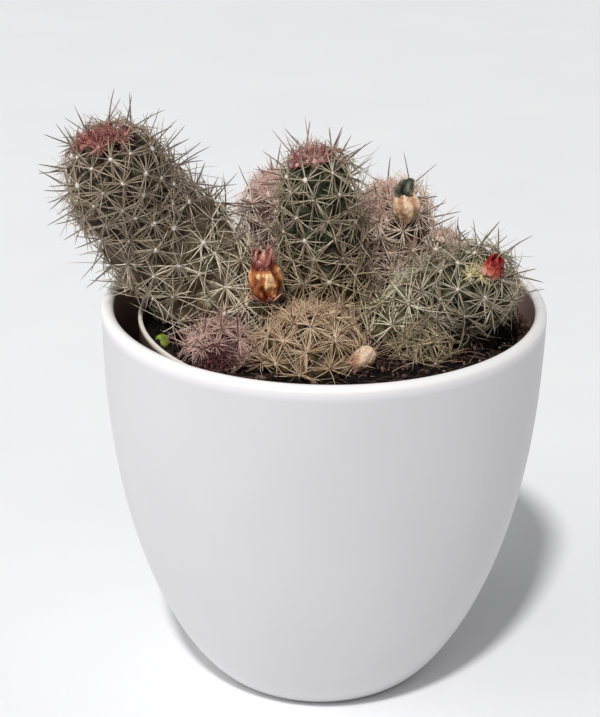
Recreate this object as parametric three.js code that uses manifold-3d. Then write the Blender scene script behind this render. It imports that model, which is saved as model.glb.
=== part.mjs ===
// A potted clustering cactus. Spiny stems lean out of a plastic nursery pot, which stands
// a little askew inside a round-bellied ceramic cover pot.
// Millimetres, +Z up, +X to the right, the front of the plant towards -Y.
// The origin is the centre of the cover pot's flat foot.

import * as THREE from 'three';
import { mergeVertices } from 'three/addons/utils/BufferGeometryUtils.js';
import Module from 'manifold-3d';

const wasm = await Module();
wasm.setup();

// ---- Driving dimensions: pots and soil ----------------------------------------------

const CLEARANCE = 0.4; // between solids that rest on or in each other

const COVER = { rimRadius: 55, height: 100, footRadius: 26, wall: 3, floor: 6, sides: 48 };
const BELLY = { rise: 27.5, roundness: 2.4, fullness: 0.74 }; // how the side swells above the foot
const COVER_STEPS = { side: 10, crowding: 1.6, lip: 4 }; // crowding packs the steps towards the foot

const NURSERY = {
  rimRadius: 48.6, baseRadius: 33, height: 77.7, wall: 1.1, sides: 48,
  band: 8, // height of the wider band below the rim
  bandStep: 0.9, // how far the band stands out
  taper: 0.7, // how much the band widens upwards
  round: 1.5, // rounding of the bottom edge
  lip: 0.5, // rounding of the rim
};
const DRAINS = { count: 5, radius: 3.5, circle: 20, sides: 12 };
const ASKEW = { lean: THREE.MathUtils.degToRad(2.74), shift: -1.2, lift: 16.7 };

const SOIL = { belowRim: 4.4, heap: 2.2, bank: 2, lump: 0.5, shoulder: 3, rings: 7, sides: 32 };

// ---- Driving dimensions: stems --------------------------------------------------------
// points run up the axis from the root to the centre of the domed crown, radii reach the
// tips of the tubercles there, around is the number of tubercles in one row, and spine is
// the length of a radial spine.

const STEMS = [
  {
    name: 'stem_left', around: 9, spine: 8.2, colour: '#6f6b55',
    points: [[-15, 8, 80], [-26.5, 6, 97.5], [-38, 3.5, 112.5], [-47, -0.5, 126], [-50, -5, 135]],
    radii: [11.5, 14.6, 15.2, 13.5, 11.5],
  },
  {
    name: 'stem_centre', around: 7, spine: 8, colour: '#5f6049',
    points: [[1, 6, 80], [0, 5, 100], [-1.2, 3, 116], [-1.5, 0, 129.5]],
    radii: [9.5, 10.6, 10.4, 9.7],
  },
  {
    name: 'stem_right', around: 7, spine: 8, colour: '#6a6c50',
    points: [[17, 0, 80], [22.5, 0, 92], [31, -2.5, 101.5], [36, -5.5, 106], [37.5, -8.5, 108]],
    radii: [9, 10.8, 11.4, 11, 10.6],
  },
  {
    name: 'stem_rear_right', around: 7, spine: 7.5, colour: '#77694f',
    points: [[13, 17, 80], [16, 17, 100], [17.5, 16, 117]],
    radii: [8.5, 10.4, 10],
  },
  {
    name: 'stem_rear_left', around: 7, spine: 7.5, colour: '#7c6a5c',
    points: [[-8, 21, 80], [-10.5, 22.5, 100], [-12, 22, 118.5]],
    radii: [8.5, 9.8, 9.5],
  },
  {
    name: 'head_front', around: 8, spine: 7.5, colour: '#96825f',
    points: [[-2, -14.5, 80], [-2.5, -17, 92]],
    radii: [11, 12.8],
  },
  {
    name: 'head_front_left', around: 6, spine: 6, colour: '#7d5d5c',
    points: [[-23, -13, 80], [-25, -16.5, 91.5]],
    radii: [7, 8.3],
  },
  {
    name: 'stem_back_right', around: 6, spine: 6, colour: '#75604f',
    points: [[24, 13, 80], [27, 14, 96], [29, 14, 105]],
    radii: [6, 7, 6.8],
  },
];

const AXIS_STEPS = 40;
const ROOT_LENGTH = 9; // smooth foot of a stem, down in the soil
const ROW_RATIO = 0.87; // row spacing over tubercle spacing, so that the rows pack closely
const CROWN_END = THREE.MathUtils.degToRad(73); // the last row of tubercles before the crown's centre
const TWIST = 0.11; // turn from one row to the next, radians
const TUBERCLE = { depth: 0.3, deepest: 2.6, pad: 0.15, widestPad: 0.85, wool: 0.2 };
const PRESS = { gap: 1, least: 0.25, halvings: 14 }; // stems that grow against each other flatten there
// A stem's hole in the soil, by distances up the stem.
const SOCKET = { room: 0.8, sides: 18, levels: [-0.5, 4, 8, 12, 16, 20, 25, 30] };

const SPINES_PER_PAD = 6;
const SPINE = {
  low: 0.34, high: 0.6, // elevation of radial spines, radians above the surface
  steep: 1.05, // elevation of central spines
  steepest: 1.45,
  crown: 0.5, // how much the spines on a crown stand up
  central: 1.15, // length of a central spine over a radial one
  least: 0.88, vary: 0.18, // random share of the full length
  spread: 0.2, // random turn, radians
  root: 0.45, // half thickness at the root
  rootShare: 0.6, // how far out on its pad a spine is rooted
  tries: 7,
  lift: 0.09, // radians that each new try stands steeper
  cutTries: 2, short: 0.62, // the last tries are cut to this share of the length
  tests: 8, // points tested along a spine
  apart: 30, // roots further apart than this can't meet
};
const SPINE_GAP = { sameStem: 0.15, otherStem: 0.4, body: 0.7, bloom: 0.5, ground: 0.7 };

// ---- Driving dimensions: what grows on or beside the stems -----------------------------
// A bloom stands on its stem where the outline comes nearest to beside, raised by seat, and
// points along aim. Its profile is [height, radius, lobing].

const BLOOMS = [
  {
    name: 'withered_flower', on: 'stem_left', beside: [-13.2, -6.4, 100.6], seat: 0.8, aim: [0.1, -0.14, 1],
    lobes: 6, colour: '#8a4a2c',
    profile: [[0.2, 1.2, 0], [1.6, 2.4, 0.05], [4, 3.9, 0.12], [7, 4.2, 0.16], [9.2, 3.3, 0.22],
      [10.6, 2.3, 0.35], [12.2, 2.5, 0.5], [13.4, 1.4, 0.5]],
  },
  {
    name: 'dry_fruit', on: 'stem_rear_right', beside: [21.5, 6.8, 120.4], seat: -0.4, aim: [0.1, -0.35, 0.93],
    lobes: 5, colour: '#b08a68',
    profile: [[0.2, 1.1, 0], [1.4, 2.1, 0.06], [3.4, 2.8, 0.1], [5, 2.5, 0.12], [6.2, 2.1, 0.2],
      [7.4, 2.1, 0.25], [8.3, 1.2, 0.2]],
  },
  {
    name: 'flower_bud', on: 'stem_right', beside: [40.9, -15.6, 115.2], seat: 0.4, aim: [0.3, -0.5, 0.8],
    lobes: 5, colour: '#a33a30',
    profile: [[0.2, 1.1, 0], [1, 2, 0.05], [2.8, 2.4, 0.12], [4.6, 1.9, 0.2], [5.9, 0.8, 0.2]],
  },
];

const DRY_PUP = { at: [10.9, -26.4, 92.9], colour: '#c9a184', lobes: 5, width: 3.4 };
const DRY_PUP_PROFILE = [[0, 1.7, 0.05], [1, 2.6, 0.12], [2.8, 2.9, 0.16], [4.5, 2, 0.12], [5.3, 0.9, 0.1]];

const SPROUT = {
  at: [-38.8, -11.8], stalk: 0.6, sunk: 2.5, rise: 1.3, // the stalk stands in the soil
  leaf: 1.35, leafWidth: 1.1, leafThick: 0.75, droop: 0.35, apart: 1, skew: 0.4, leafRise: 1.6,
};

const COLOURS = { cover: '#e8e6e6', nursery: '#e6dfce', soil: '#2b201a', sprout: '#7fa51f' };

const SEED = 20817;

// ---- Small helpers -----------------------------------------------------------------------

function randomSource(seed) {
  let state = seed >>> 0;
  return () => {
    state = (state + 0x6d2b79f5) >>> 0;
    let mixed = Math.imul(state ^ (state >>> 15), 1 | state);
    mixed = (mixed + Math.imul(mixed ^ (mixed >>> 7), 61 | mixed)) ^ mixed;
    return ((mixed ^ (mixed >>> 14)) >>> 0) / 4294967296;
  };
}

const random = randomSource(SEED);

function vector(list) {
  return new THREE.Vector3(...list);
}

function mesh(name, geometry, colour, roughness) {
  const material = new THREE.MeshStandardMaterial({ color: colour, roughness, metalness: 0 });
  const made = new THREE.Mesh(geometry, material);
  made.name = name;
  return made;
}

// A solid for joining and cutting, from a closed geometry.
function toSolid(geometry) {
  const bare = geometry.clone();
  bare.deleteAttribute('normal');
  bare.deleteAttribute('uv');
  const merged = mergeVertices(bare, 1e-4);
  const data = new wasm.Mesh({
    numProp: 3,
    vertProperties: merged.attributes.position.array,
    triVerts: new Uint32Array(merged.index.array),
  });
  return new wasm.Manifold(data);
}

function toGeometry(solid) {
  const data = solid.getMesh();
  const geometry = new THREE.BufferGeometry();
  geometry.setAttribute('position', new THREE.BufferAttribute(data.vertProperties, 3));
  geometry.setIndex(new THREE.BufferAttribute(data.triVerts, 1));
  geometry.computeVertexNormals();
  return geometry;
}

// A list of vertices and triangles that grows into one closed surface.
class Surface {
  constructor() {
    this.positions = [];
    this.triangles = [];
  }

  add(point) {
    this.positions.push(point.x, point.y, point.z);
    return this.positions.length / 3 - 1;
  }

  face(a, b, c) {
    this.triangles.push(a, b, c);
  }

  // Joins two rings of vertices that have the same number of corners.
  band(lower, upper) {
    const count = lower.length;
    for (let i = 0; i < count; i += 1) {
      const next = (i + 1) % count;
      this.face(lower[i], lower[next], upper[next]);
      this.face(lower[i], upper[next], upper[i]);
    }
  }

  // Closes a ring with one vertex: below the ring, or above it.
  cap(ring, pole, above) {
    ring.forEach((corner, i) => {
      const next = ring[(i + 1) % ring.length];
      if (above) this.face(corner, next, pole);
      else this.face(next, corner, pole);
    });
  }

  // Fills between an outer and an inner loop that turn the same way, by matching angles.
  stitch(outer, inner) {
    const [o, n] = [outer.length, inner.length];
    let [i, k] = [0, 0];
    while (i < o || k < n) {
      const nextOuter = i < o ? outer[(i + 1) % o].angle + (i + 1 === o ? 2 * Math.PI : 0) : Infinity;
      const nextInner = k < n ? inner[(k + 1) % n].angle + (k + 1 === n ? 2 * Math.PI : 0) : Infinity;
      if (nextOuter <= nextInner) {
        this.face(outer[i % o].vertex, outer[(i + 1) % o].vertex, inner[k % n].vertex);
        i += 1;
      } else {
        this.face(outer[i % o].vertex, inner[(k + 1) % n].vertex, inner[k % n].vertex);
        k += 1;
      }
    }
  }

  geometry() {
    const made = new THREE.BufferGeometry();
    made.setAttribute('position', new THREE.Float32BufferAttribute(this.positions, 3));
    made.setIndex(this.triangles);
    made.computeVertexNormals();
    return made;
  }
}

// ---- Pots -----------------------------------------------------------------------------------

function revolve(profile, sides) {
  const points = profile.map(([radius, height]) => new THREE.Vector2(radius, height));
  return new THREE.LatheGeometry(points, sides).rotateX(Math.PI / 2);
}

// Radius of the cover pot's outside at a share of its height.
function coverRadius(share) {
  const swell = (1 - (1 - share) ** BELLY.roundness) ** BELLY.fullness;
  const flare = COVER.rimRadius - COVER.footRadius - BELLY.rise;
  return COVER.footRadius + BELLY.rise * swell + flare * share;
}

function coverPot() {
  const { side, crowding, lip } = COVER_STEPS;
  const lipRadius = COVER.wall / 2;
  const top = COVER.height - lipRadius;
  const profile = [[0, 0]];
  for (let i = 0; i <= side; i += 1) {
    const share = (i / side) ** crowding;
    profile.push([coverRadius(share), share * top]);
  }
  for (let i = 1; i < lip; i += 1) {
    const turn = (i / lip) * Math.PI;
    const middle = COVER.rimRadius - lipRadius;
    profile.push([middle + lipRadius * Math.cos(turn), top + lipRadius * Math.sin(turn)]);
  }
  for (let i = side; i >= 0; i -= 1) {
    const share = (i / side) ** crowding;
    profile.push([coverRadius(share) - COVER.wall, COVER.floor + share * (top - COVER.floor)]);
  }
  profile.push([0, COVER.floor]);
  return mesh('cover_pot', revolve(profile, COVER.sides), COLOURS.cover, 0.35);
}

// Inside radius of the nursery pot, up to the foot of its rim band.
function nurseryInside(height) {
  const { rimRadius, baseRadius, height: full, wall, band, bandStep, taper } = NURSERY;
  const slope = (rimRadius - taper - bandStep - baseRadius) / (full - band);
  return baseRadius + slope * height - wall;
}

function nurseryPot() {
  const { rimRadius, baseRadius, height, wall, sides, band, taper, round, lip } = NURSERY;
  const bandFoot = height - band;
  const wallTop = nurseryInside(bandFoot) + wall;
  const profile = [
    [0, 0], [baseRadius - round, 0], [baseRadius, round],
    [wallTop, bandFoot], [rimRadius - taper, bandFoot + lip],
    [rimRadius, height - lip], [rimRadius - lip, height], [rimRadius - wall, height - lip],
    [rimRadius - taper - wall, bandFoot + wall], [wallTop - wall, bandFoot - lip],
    [nurseryInside(wall + round), wall + round], [baseRadius - round - wall, wall], [0, wall],
  ];
  let solid = toSolid(revolve(profile, sides));
  for (let i = 0; i < DRAINS.count; i += 1) {
    const turn = (i / DRAINS.count) * 2 * Math.PI;
    const drill = new THREE.CylinderGeometry(DRAINS.radius, DRAINS.radius, 6 * wall, DRAINS.sides);
    const hole = drill.rotateX(Math.PI / 2);
    hole.translate(DRAINS.circle * Math.cos(turn), DRAINS.circle * Math.sin(turn), wall / 2);
    solid = solid.subtract(toSolid(hole));
  }
  return mesh('nursery_pot', toGeometry(solid), COLOURS.nursery, 0.5);
}

// The nursery pot's own frame in the cover pot: leaning to the right, its foot on the belly.
const askew = new THREE.Group();
askew.position.set(ASKEW.shift, 0, ASKEW.lift);
askew.rotation.y = ASKEW.lean;
askew.updateMatrixWorld(true);
const intoAskew = askew.matrixWorld.clone().invert();

// ---- Soil -------------------------------------------------------------------------------------

// Height of the soil in the nursery pot's frame: level although the pot leans, heaped in the
// middle and banked up against the right side.
function soilHeight(x, y) {
  const outward = Math.min(1, Math.hypot(x, y) / NURSERY.rimRadius);
  const bank = SOIL.bank * (Math.max(0, x) / NURSERY.rimRadius) ** 2;
  const lumps = Math.sin(0.55 * x + 1.3) * Math.cos(0.47 * y) + 0.7 * Math.sin(0.9 * x - 0.7 * y);
  const heap = SOIL.heap * (1 - outward * outward);
  return NURSERY.height - SOIL.belowRim + x * Math.tan(ASKEW.lean) + heap + bank + SOIL.lump * lumps;
}

function soilBlock() {
  const { rings, sides } = SOIL;
  const { rimRadius, baseRadius, height, wall, band, taper, round } = NURSERY;
  const edge = rimRadius - taper - wall - 2 * CLEARANCE;
  const neck = height - band - wall;
  const foot = wall + CLEARANCE;
  const surface = new Surface();
  const circle = (radius, heightAt) => {
    const ring = [];
    for (let i = 0; i < sides; i += 1) {
      const turn = (i / sides) * 2 * Math.PI;
      const [x, y] = [radius * Math.cos(turn), radius * Math.sin(turn)];
      ring.push(surface.add(new THREE.Vector3(x, y, heightAt(x, y))));
    }
    return ring;
  };
  const footRing = circle(baseRadius - round - wall - CLEARANCE, () => foot);
  const neckRing = circle(nurseryInside(neck) - 2 * CLEARANCE, () => neck);
  surface.cap(footRing, surface.add(new THREE.Vector3(0, 0, foot)), false);
  const shoulder = foot + SOIL.shoulder;
  const shoulderRing = circle(nurseryInside(shoulder) - 2 * CLEARANCE, () => shoulder);
  surface.band(footRing, shoulderRing);
  surface.band(shoulderRing, neckRing);
  let below = neckRing;
  for (let k = rings; k > 0; k -= 1) {
    const ring = circle((edge * k) / rings, soilHeight);
    surface.band(below, ring);
    below = ring;
  }
  surface.cap(below, surface.add(new THREE.Vector3(0, 0, soilHeight(0, 0))), true);
  return toSolid(surface.geometry());
}

function pottingSoil(stems, sprout) {
  let solid = soilBlock();
  [...stems.map((stem) => stem.socket()), sprout.socket()].forEach((socket) => {
    solid = solid.subtract(toSolid(socket.applyMatrix4(intoAskew)));
  });
  const pieces = solid.decompose().sort((a, b) => b.volume() - a.volume());
  return mesh('potting_soil', toGeometry(pieces[0]), COLOURS.soil, 1);
}

// ---- Stems ------------------------------------------------------------------------------------

class Stem {
  constructor(spec) {
    Object.assign(this, spec);
    const curve = new THREE.CatmullRomCurve3(spec.points.map(vector));
    this.axis = [];
    let length = 0;
    for (let i = 0; i <= AXIS_STEPS; i += 1) {
      const place = (i / AXIS_STEPS) * (spec.radii.length - 1);
      const index = Math.min(Math.floor(place), spec.radii.length - 2);
      const radius = THREE.MathUtils.lerp(spec.radii[index], spec.radii[index + 1], place - index);
      const point = curve.getPoint(i / AXIS_STEPS);
      if (i > 0) length += point.distanceTo(this.axis[i - 1].point);
      this.axis.push({ point, radius, length, tangent: curve.getTangent(i / AXIS_STEPS) });
    }
    this.length = length;
    this.pads = [];
  }

  // Axis point, direction and radius at a distance up the stem.
  at(distance) {
    const { axis } = this;
    let i = 1;
    while (i < axis.length - 1 && axis[i].length < distance) i += 1;
    const [low, high] = [axis[i - 1], axis[i]];
    const share = (distance - low.length) / (high.length - low.length);
    return {
      point: low.point.clone().lerp(high.point, share),
      tangent: low.tangent.clone().lerp(high.tangent, share).normalize(),
      radius: THREE.MathUtils.lerp(low.radius, high.radius, share),
    };
  }

  // How far a point lies outside the stem's plain outline, negative inside.
  field(point) {
    let least = Infinity;
    const span = new THREE.Vector3();
    const offset = new THREE.Vector3();
    for (let i = 1; i < this.axis.length; i += 1) {
      const [low, high] = [this.axis[i - 1], this.axis[i]];
      span.subVectors(high.point, low.point);
      offset.subVectors(point, low.point);
      const share = THREE.MathUtils.clamp(offset.dot(span) / span.lengthSq(), 0, 1);
      const distance = offset.addScaledVector(span, -share).length();
      least = Math.min(least, distance - THREE.MathUtils.lerp(low.radius, high.radius, share));
    }
    return least;
  }

  // Where the plain outline comes nearest to a point, and the direction outwards there.
  nearest(point) {
    const outside = (node) => point.distanceTo(node.point) - node.radius;
    const node = this.axis.reduce((best, each) => (outside(each) < outside(best) ? each : best));
    const out = point.clone().sub(node.point).normalize();
    return { at: node.point.clone().addScaledVector(out, node.radius), out };
  }

  // Rows up the stem: distance along the axis, then the tilt over the crown's dome.
  rows() {
    const rows = [{ distance: 0, tilt: 0 }, { distance: ROOT_LENGTH, tilt: 0 }];
    let [distance, tilt] = [ROOT_LENGTH, 0];
    for (;;) {
      const { radius } = this.at(distance);
      const step = (ROW_RATIO * 2 * Math.PI * radius * Math.cos(tilt)) / this.around;
      const over = Math.max(0, distance + step - this.length);
      distance = Math.min(this.length, distance + step);
      tilt += over / radius;
      if (tilt > CROWN_END) return rows;
      rows.push({ distance, tilt });
    }
  }

  // Directions at one place of the lattice, and the radius that neighbours leave free.
  place(row, turn, inset, neighbours) {
    const { point, tangent, radius } = this.at(row.distance);
    const side = new THREE.Vector3(1, 0, 0).addScaledVector(tangent, -tangent.x).normalize();
    const back = new THREE.Vector3().crossVectors(tangent, side);
    const level = side.clone().multiplyScalar(Math.cos(turn)).addScaledVector(back, Math.sin(turn));
    const out = level.clone().multiplyScalar(Math.cos(row.tilt)).addScaledVector(tangent, Math.sin(row.tilt));
    const across = new THREE.Vector3().crossVectors(tangent, level);
    const up = new THREE.Vector3().crossVectors(out, across);
    const free = this.freeRadius(point, out, radius, neighbours);
    const reach = neighbours.length ? Math.min(radius - inset, free) : radius - inset;
    return { at: point.clone().addScaledVector(out, reach), out, across, up, pressed: free < radius };
  }

  // Stems that touch flatten against each other, half way between their outlines.
  freeRadius(centre, out, radius, neighbours) {
    const crowds = (reach) => {
      const point = centre.clone().addScaledVector(out, reach);
      return neighbours.some((other) => other.field(point) - (reach - radius) < PRESS.gap);
    };
    if (!crowds(radius)) return radius;
    let [low, high] = [radius * PRESS.least, radius];
    for (let i = 0; i < PRESS.halvings; i += 1) {
      const middle = (low + high) / 2;
      if (crowds(middle)) high = middle;
      else low = middle;
    }
    return low;
  }

  // Every corner of the body, as a lattice of raised tubercles with valleys between them.
  layOut(neighbours) {
    const columns = this.around * 2;
    this.surface = new Surface();
    this.lattice = this.rows().map((row, j) => {
      const { radius } = this.at(row.distance);
      const spacing = (2 * Math.PI * radius * Math.cos(row.tilt)) / this.around;
      const line = [];
      for (let i = 0; i < columns; i += 1) {
        const turn = (i / columns) * 2 * Math.PI + TWIST * j;
        const raised = j > 1 && (i + j) % 2 === 0;
        const valley = j > 1 ? Math.min(TUBERCLE.deepest, TUBERCLE.depth * spacing) : 0;
        const place = this.place(row, turn, raised ? 0 : valley, neighbours);
        if (raised) this.pads.push({ ...place, row: j, column: i, spacing, tilt: row.tilt });
        const vertex = raised ? null : this.surface.add(place.at);
        line.push({ vertex, pad: raised ? this.pads.at(-1) : null });
      }
      return line;
    });
  }

  corner(row, column) {
    const columns = this.around * 2;
    if (row === this.lattice.length) return this.pole;
    return this.lattice[row][(column + columns) % columns];
  }

  // The triangles between tubercles, and the two ends.
  closeBody() {
    const { surface, lattice } = this;
    const columns = this.around * 2;
    const { point, tangent } = this.at(this.length);
    const crown = point.clone().addScaledVector(tangent, this.at(this.length).radius);
    this.pole = { vertex: surface.add(crown), pad: null };
    for (let j = 0; j < lattice.length; j += 1) {
      for (let i = 0; i < columns; i += 1) {
        const quad = [[j, i], [j, i + 1], [j + 1, i + 1], [j + 1, i]].map(([r, c]) => this.corner(r, c));
        const split = quad[0].pad || quad[2].pad ? [[0, 1, 3], [2, 3, 1]] : [[1, 2, 0], [3, 0, 2]];
        split.forEach(([a, b, c]) => {
          const corners = [quad[a], quad[b], quad[c]].map((corner) => corner.vertex);
          const distinct = new Set(corners).size === 3;
          if (distinct && !corners.includes(null)) surface.face(...corners);
        });
      }
    }
    const foot = surface.add(this.at(0).point);
    surface.cap(lattice[0].map((corner) => corner.vertex), foot, false);
  }

  // One tubercle: its sides, a small woolly pad on top, and a spine on each facet of the pad.
  addTubercle(pad, growth) {
    const { surface } = this;
    const loop = [[0, 1], [1, 0], [0, -1], [-1, 0]].map(([up, along], k) => {
      const { vertex } = this.corner(pad.row + up, pad.column + along);
      return { vertex, angle: (k * Math.PI) / 2 };
    });
    if (pad.pressed) {
      const tip = surface.add(pad.at);
      loop.forEach((corner, k) => surface.face(corner.vertex, loop[(k + 1) % 4].vertex, tip));
      return;
    }
    const size = Math.min(TUBERCLE.widestPad, TUBERCLE.pad * pad.spacing);
    const ring = [];
    for (let k = 0; k < SPINES_PER_PAD; k += 1) {
      const angle = ((k + 0.5) / SPINES_PER_PAD) * 2 * Math.PI;
      const corner = pad.at.clone().addScaledVector(pad.across, size * Math.cos(angle));
      ring.push({ vertex: surface.add(corner.addScaledVector(pad.up, size * Math.sin(angle))), angle });
    }
    const middlePoint = pad.at.clone().addScaledVector(pad.out, TUBERCLE.wool);
    const middle = surface.add(middlePoint);
    surface.stitch(loop, ring);
    ring.forEach((corner, k) => {
      const next = ring[(k + 1) % ring.length];
      const angle = corner.angle + Math.PI / SPINES_PER_PAD;
      const out = SPINE.rootShare * size;
      const root = middlePoint.clone().addScaledVector(pad.across, out * Math.cos(angle));
      root.addScaledVector(pad.up, out * Math.sin(angle));
      const tip = pad.bare ? null : growth.grow(this, pad, root, angle, k);
      if (!tip) {
        surface.face(middle, corner.vertex, next.vertex);
        return;
      }
      const end = surface.add(tip);
      surface.face(middle, corner.vertex, end);
      surface.face(corner.vertex, next.vertex, end);
      surface.face(next.vertex, middle, end);
    });
  }

  // The plain hole that the stem stands in, open at the top of the soil.
  socket() {
    const surface = new Surface();
    const along = (distance) => {
      const inside = THREE.MathUtils.clamp(distance, 0, this.length);
      return { inside, shift: this.at(inside).tangent.multiplyScalar(distance - inside) };
    };
    const rings = SOCKET.levels.map((distance) => {
      const { inside, shift } = along(distance);
      const ring = [];
      for (let i = 0; i < SOCKET.sides; i += 1) {
        const turn = (i / SOCKET.sides) * 2 * Math.PI;
        const { at } = this.place({ distance: inside, tilt: 0 }, turn, -SOCKET.room, []);
        ring.push(surface.add(at.add(shift)));
      }
      return ring;
    });
    for (let j = 1; j < rings.length; j += 1) surface.band(rings[j - 1], rings[j]);
    [SOCKET.levels[0], SOCKET.levels.at(-1)].forEach((distance, k) => {
      const { inside, shift } = along(distance);
      const centre = surface.add(this.at(inside).point.add(shift));
      surface.cap(rings[k * (rings.length - 1)], centre, k === 1);
    });
    return surface.geometry();
  }
}

// ---- Spines -----------------------------------------------------------------------------------

// Least gap between two tapering spines, each from a thick root to a point.
function spineGap(a, b) {
  const [da, db] = [a.tip.clone().sub(a.root), b.tip.clone().sub(b.root)];
  const between = a.root.clone().sub(b.root);
  const [aa, bb, ab] = [da.lengthSq(), db.lengthSq(), da.dot(db)];
  const [ca, cb] = [da.dot(between), db.dot(between)];
  const slack = aa * bb - ab * ab;
  let s = slack > 1e-9 ? THREE.MathUtils.clamp((ab * cb - ca * bb) / slack, 0, 1) : 0;
  const t = THREE.MathUtils.clamp((ab * s + cb) / bb, 0, 1);
  s = THREE.MathUtils.clamp((ab * t - ca) / aa, 0, 1);
  const distance = between.addScaledVector(da, s).addScaledVector(db, -t).length();
  return distance - SPINE.root * (2 - s - t);
}

// Grows spines one by one, each bent, shortened or left out where it would meet something.
class Growth {
  constructor(stems, blooms) {
    this.stems = stems;
    this.blooms = blooms;
    this.spines = [];
  }

  aboveGround(point) {
    const local = point.clone().applyMatrix4(intoAskew);
    if (Math.hypot(local.x, local.y) < NURSERY.rimRadius - 3) {
      return local.z > soilHeight(local.x, local.y) + SPINE_GAP.ground;
    }
    return point.z > COVER.height + 2 * SPINE_GAP.ground;
  }

  fits(spine, stem) {
    for (let i = 1; i <= SPINE.tests; i += 1) {
      const point = spine.root.clone().lerp(spine.tip, i / SPINE.tests);
      if (!this.aboveGround(point)) return false;
      if (i > 2 && stem.field(point) < SPINE_GAP.body) return false;
      if (this.stems.some((other) => other !== stem && other.field(point) < SPINE_GAP.body)) return false;
    }
    const meets = (bloom) => spineGap(spine, bloom.core) < bloom.width + SPINE_GAP.bloom;
    if (this.blooms.some(meets)) return false;
    return this.spines.every((other) => {
      if (other.pad === spine.pad || other.root.distanceTo(spine.root) > SPINE.apart) return true;
      const gap = other.stem === stem ? SPINE_GAP.sameStem : SPINE_GAP.otherStem;
      return spineGap(spine, other) > gap;
    });
  }

  // The tip of a new spine, or null where none fits.
  grow(stem, pad, root, angle, index) {
    const central = index % SPINES_PER_PAD === pad.row % 3;
    const standing = SPINE.crown * Math.sin(pad.tilt);
    for (let i = 0; i < SPINE.tries; i += 1) {
      const base = central ? SPINE.steep : THREE.MathUtils.lerp(SPINE.low, SPINE.high, random());
      const rise = Math.min(SPINE.steepest, base + standing + SPINE.lift * i);
      const turn = angle + (random() - 0.5) * 2 * SPINE.spread;
      const cut = i >= SPINE.tries - SPINE.cutTries ? SPINE.short : 1;
      const share = (SPINE.least + SPINE.vary * random()) * cut;
      const long = stem.spine * share * (central ? SPINE.central : 1);
      const aim = pad.across.clone().multiplyScalar(Math.cos(turn)).addScaledVector(pad.up, Math.sin(turn));
      aim.multiplyScalar(Math.cos(rise)).addScaledVector(pad.out, Math.sin(rise));
      const spine = { root, tip: root.clone().addScaledVector(aim, long), stem, pad };
      if (this.fits(spine, stem)) {
        this.spines.push(spine);
        return spine.tip;
      }
    }
    return null;
  }
}

// ---- Blooms, pup and sprout ----------------------------------------------------------------------

// A small lobed body with its foot at the origin, pointing along +Z.
function lobedBody(profile, lobes) {
  const sides = lobes * 4;
  const surface = new Surface();
  const rings = profile.map(([height, radius, lobing]) => {
    const ring = [];
    for (let i = 0; i < sides; i += 1) {
      const turn = (i / sides) * 2 * Math.PI;
      const reach = radius * (1 + lobing * Math.cos(lobes * turn));
      ring.push(surface.add(new THREE.Vector3(reach * Math.cos(turn), reach * Math.sin(turn), height)));
    }
    return ring;
  });
  const [first, last] = [profile[0][0], profile.at(-1)[0]];
  surface.cap(rings[0], surface.add(new THREE.Vector3(0, 0, first - 0.2)), false);
  for (let j = 1; j < rings.length; j += 1) surface.band(rings[j - 1], rings[j]);
  surface.cap(rings.at(-1), surface.add(new THREE.Vector3(0, 0, last + 0.3)), true);
  return surface.geometry();
}

function bloom(spec, stems) {
  const stem = stems.find((candidate) => candidate.name === spec.on);
  const { at, out } = stem.nearest(vector(spec.beside));
  const foot = at.addScaledVector(out, spec.seat);
  const aim = vector(spec.aim).normalize();
  const geometry = lobedBody(spec.profile, spec.lobes);
  geometry.applyQuaternion(new THREE.Quaternion().setFromUnitVectors(new THREE.Vector3(0, 0, 1), aim));
  geometry.translate(foot.x, foot.y, foot.z);
  const tip = foot.clone().addScaledVector(aim, spec.profile.at(-1)[0]);
  const width = Math.max(...spec.profile.map(([, radius, lobing]) => radius * (1 + lobing)));
  stem.pads.filter((pad) => pad.at.distanceTo(foot) < width).forEach((pad) => { pad.bare = true; });
  return { mesh: mesh(spec.name, geometry, spec.colour, 0.7), core: { root: foot, tip }, width };
}

function dryPup() {
  const geometry = lobedBody(DRY_PUP_PROFILE, DRY_PUP.lobes);
  geometry.translate(...DRY_PUP.at);
  const foot = vector(DRY_PUP.at);
  const tip = foot.clone().setZ(foot.z + DRY_PUP_PROFILE.at(-1)[0]);
  const made = mesh('dry_pup', geometry, DRY_PUP.colour, 0.8);
  return { mesh: made, core: { root: foot, tip }, width: DRY_PUP.width };
}

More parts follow.
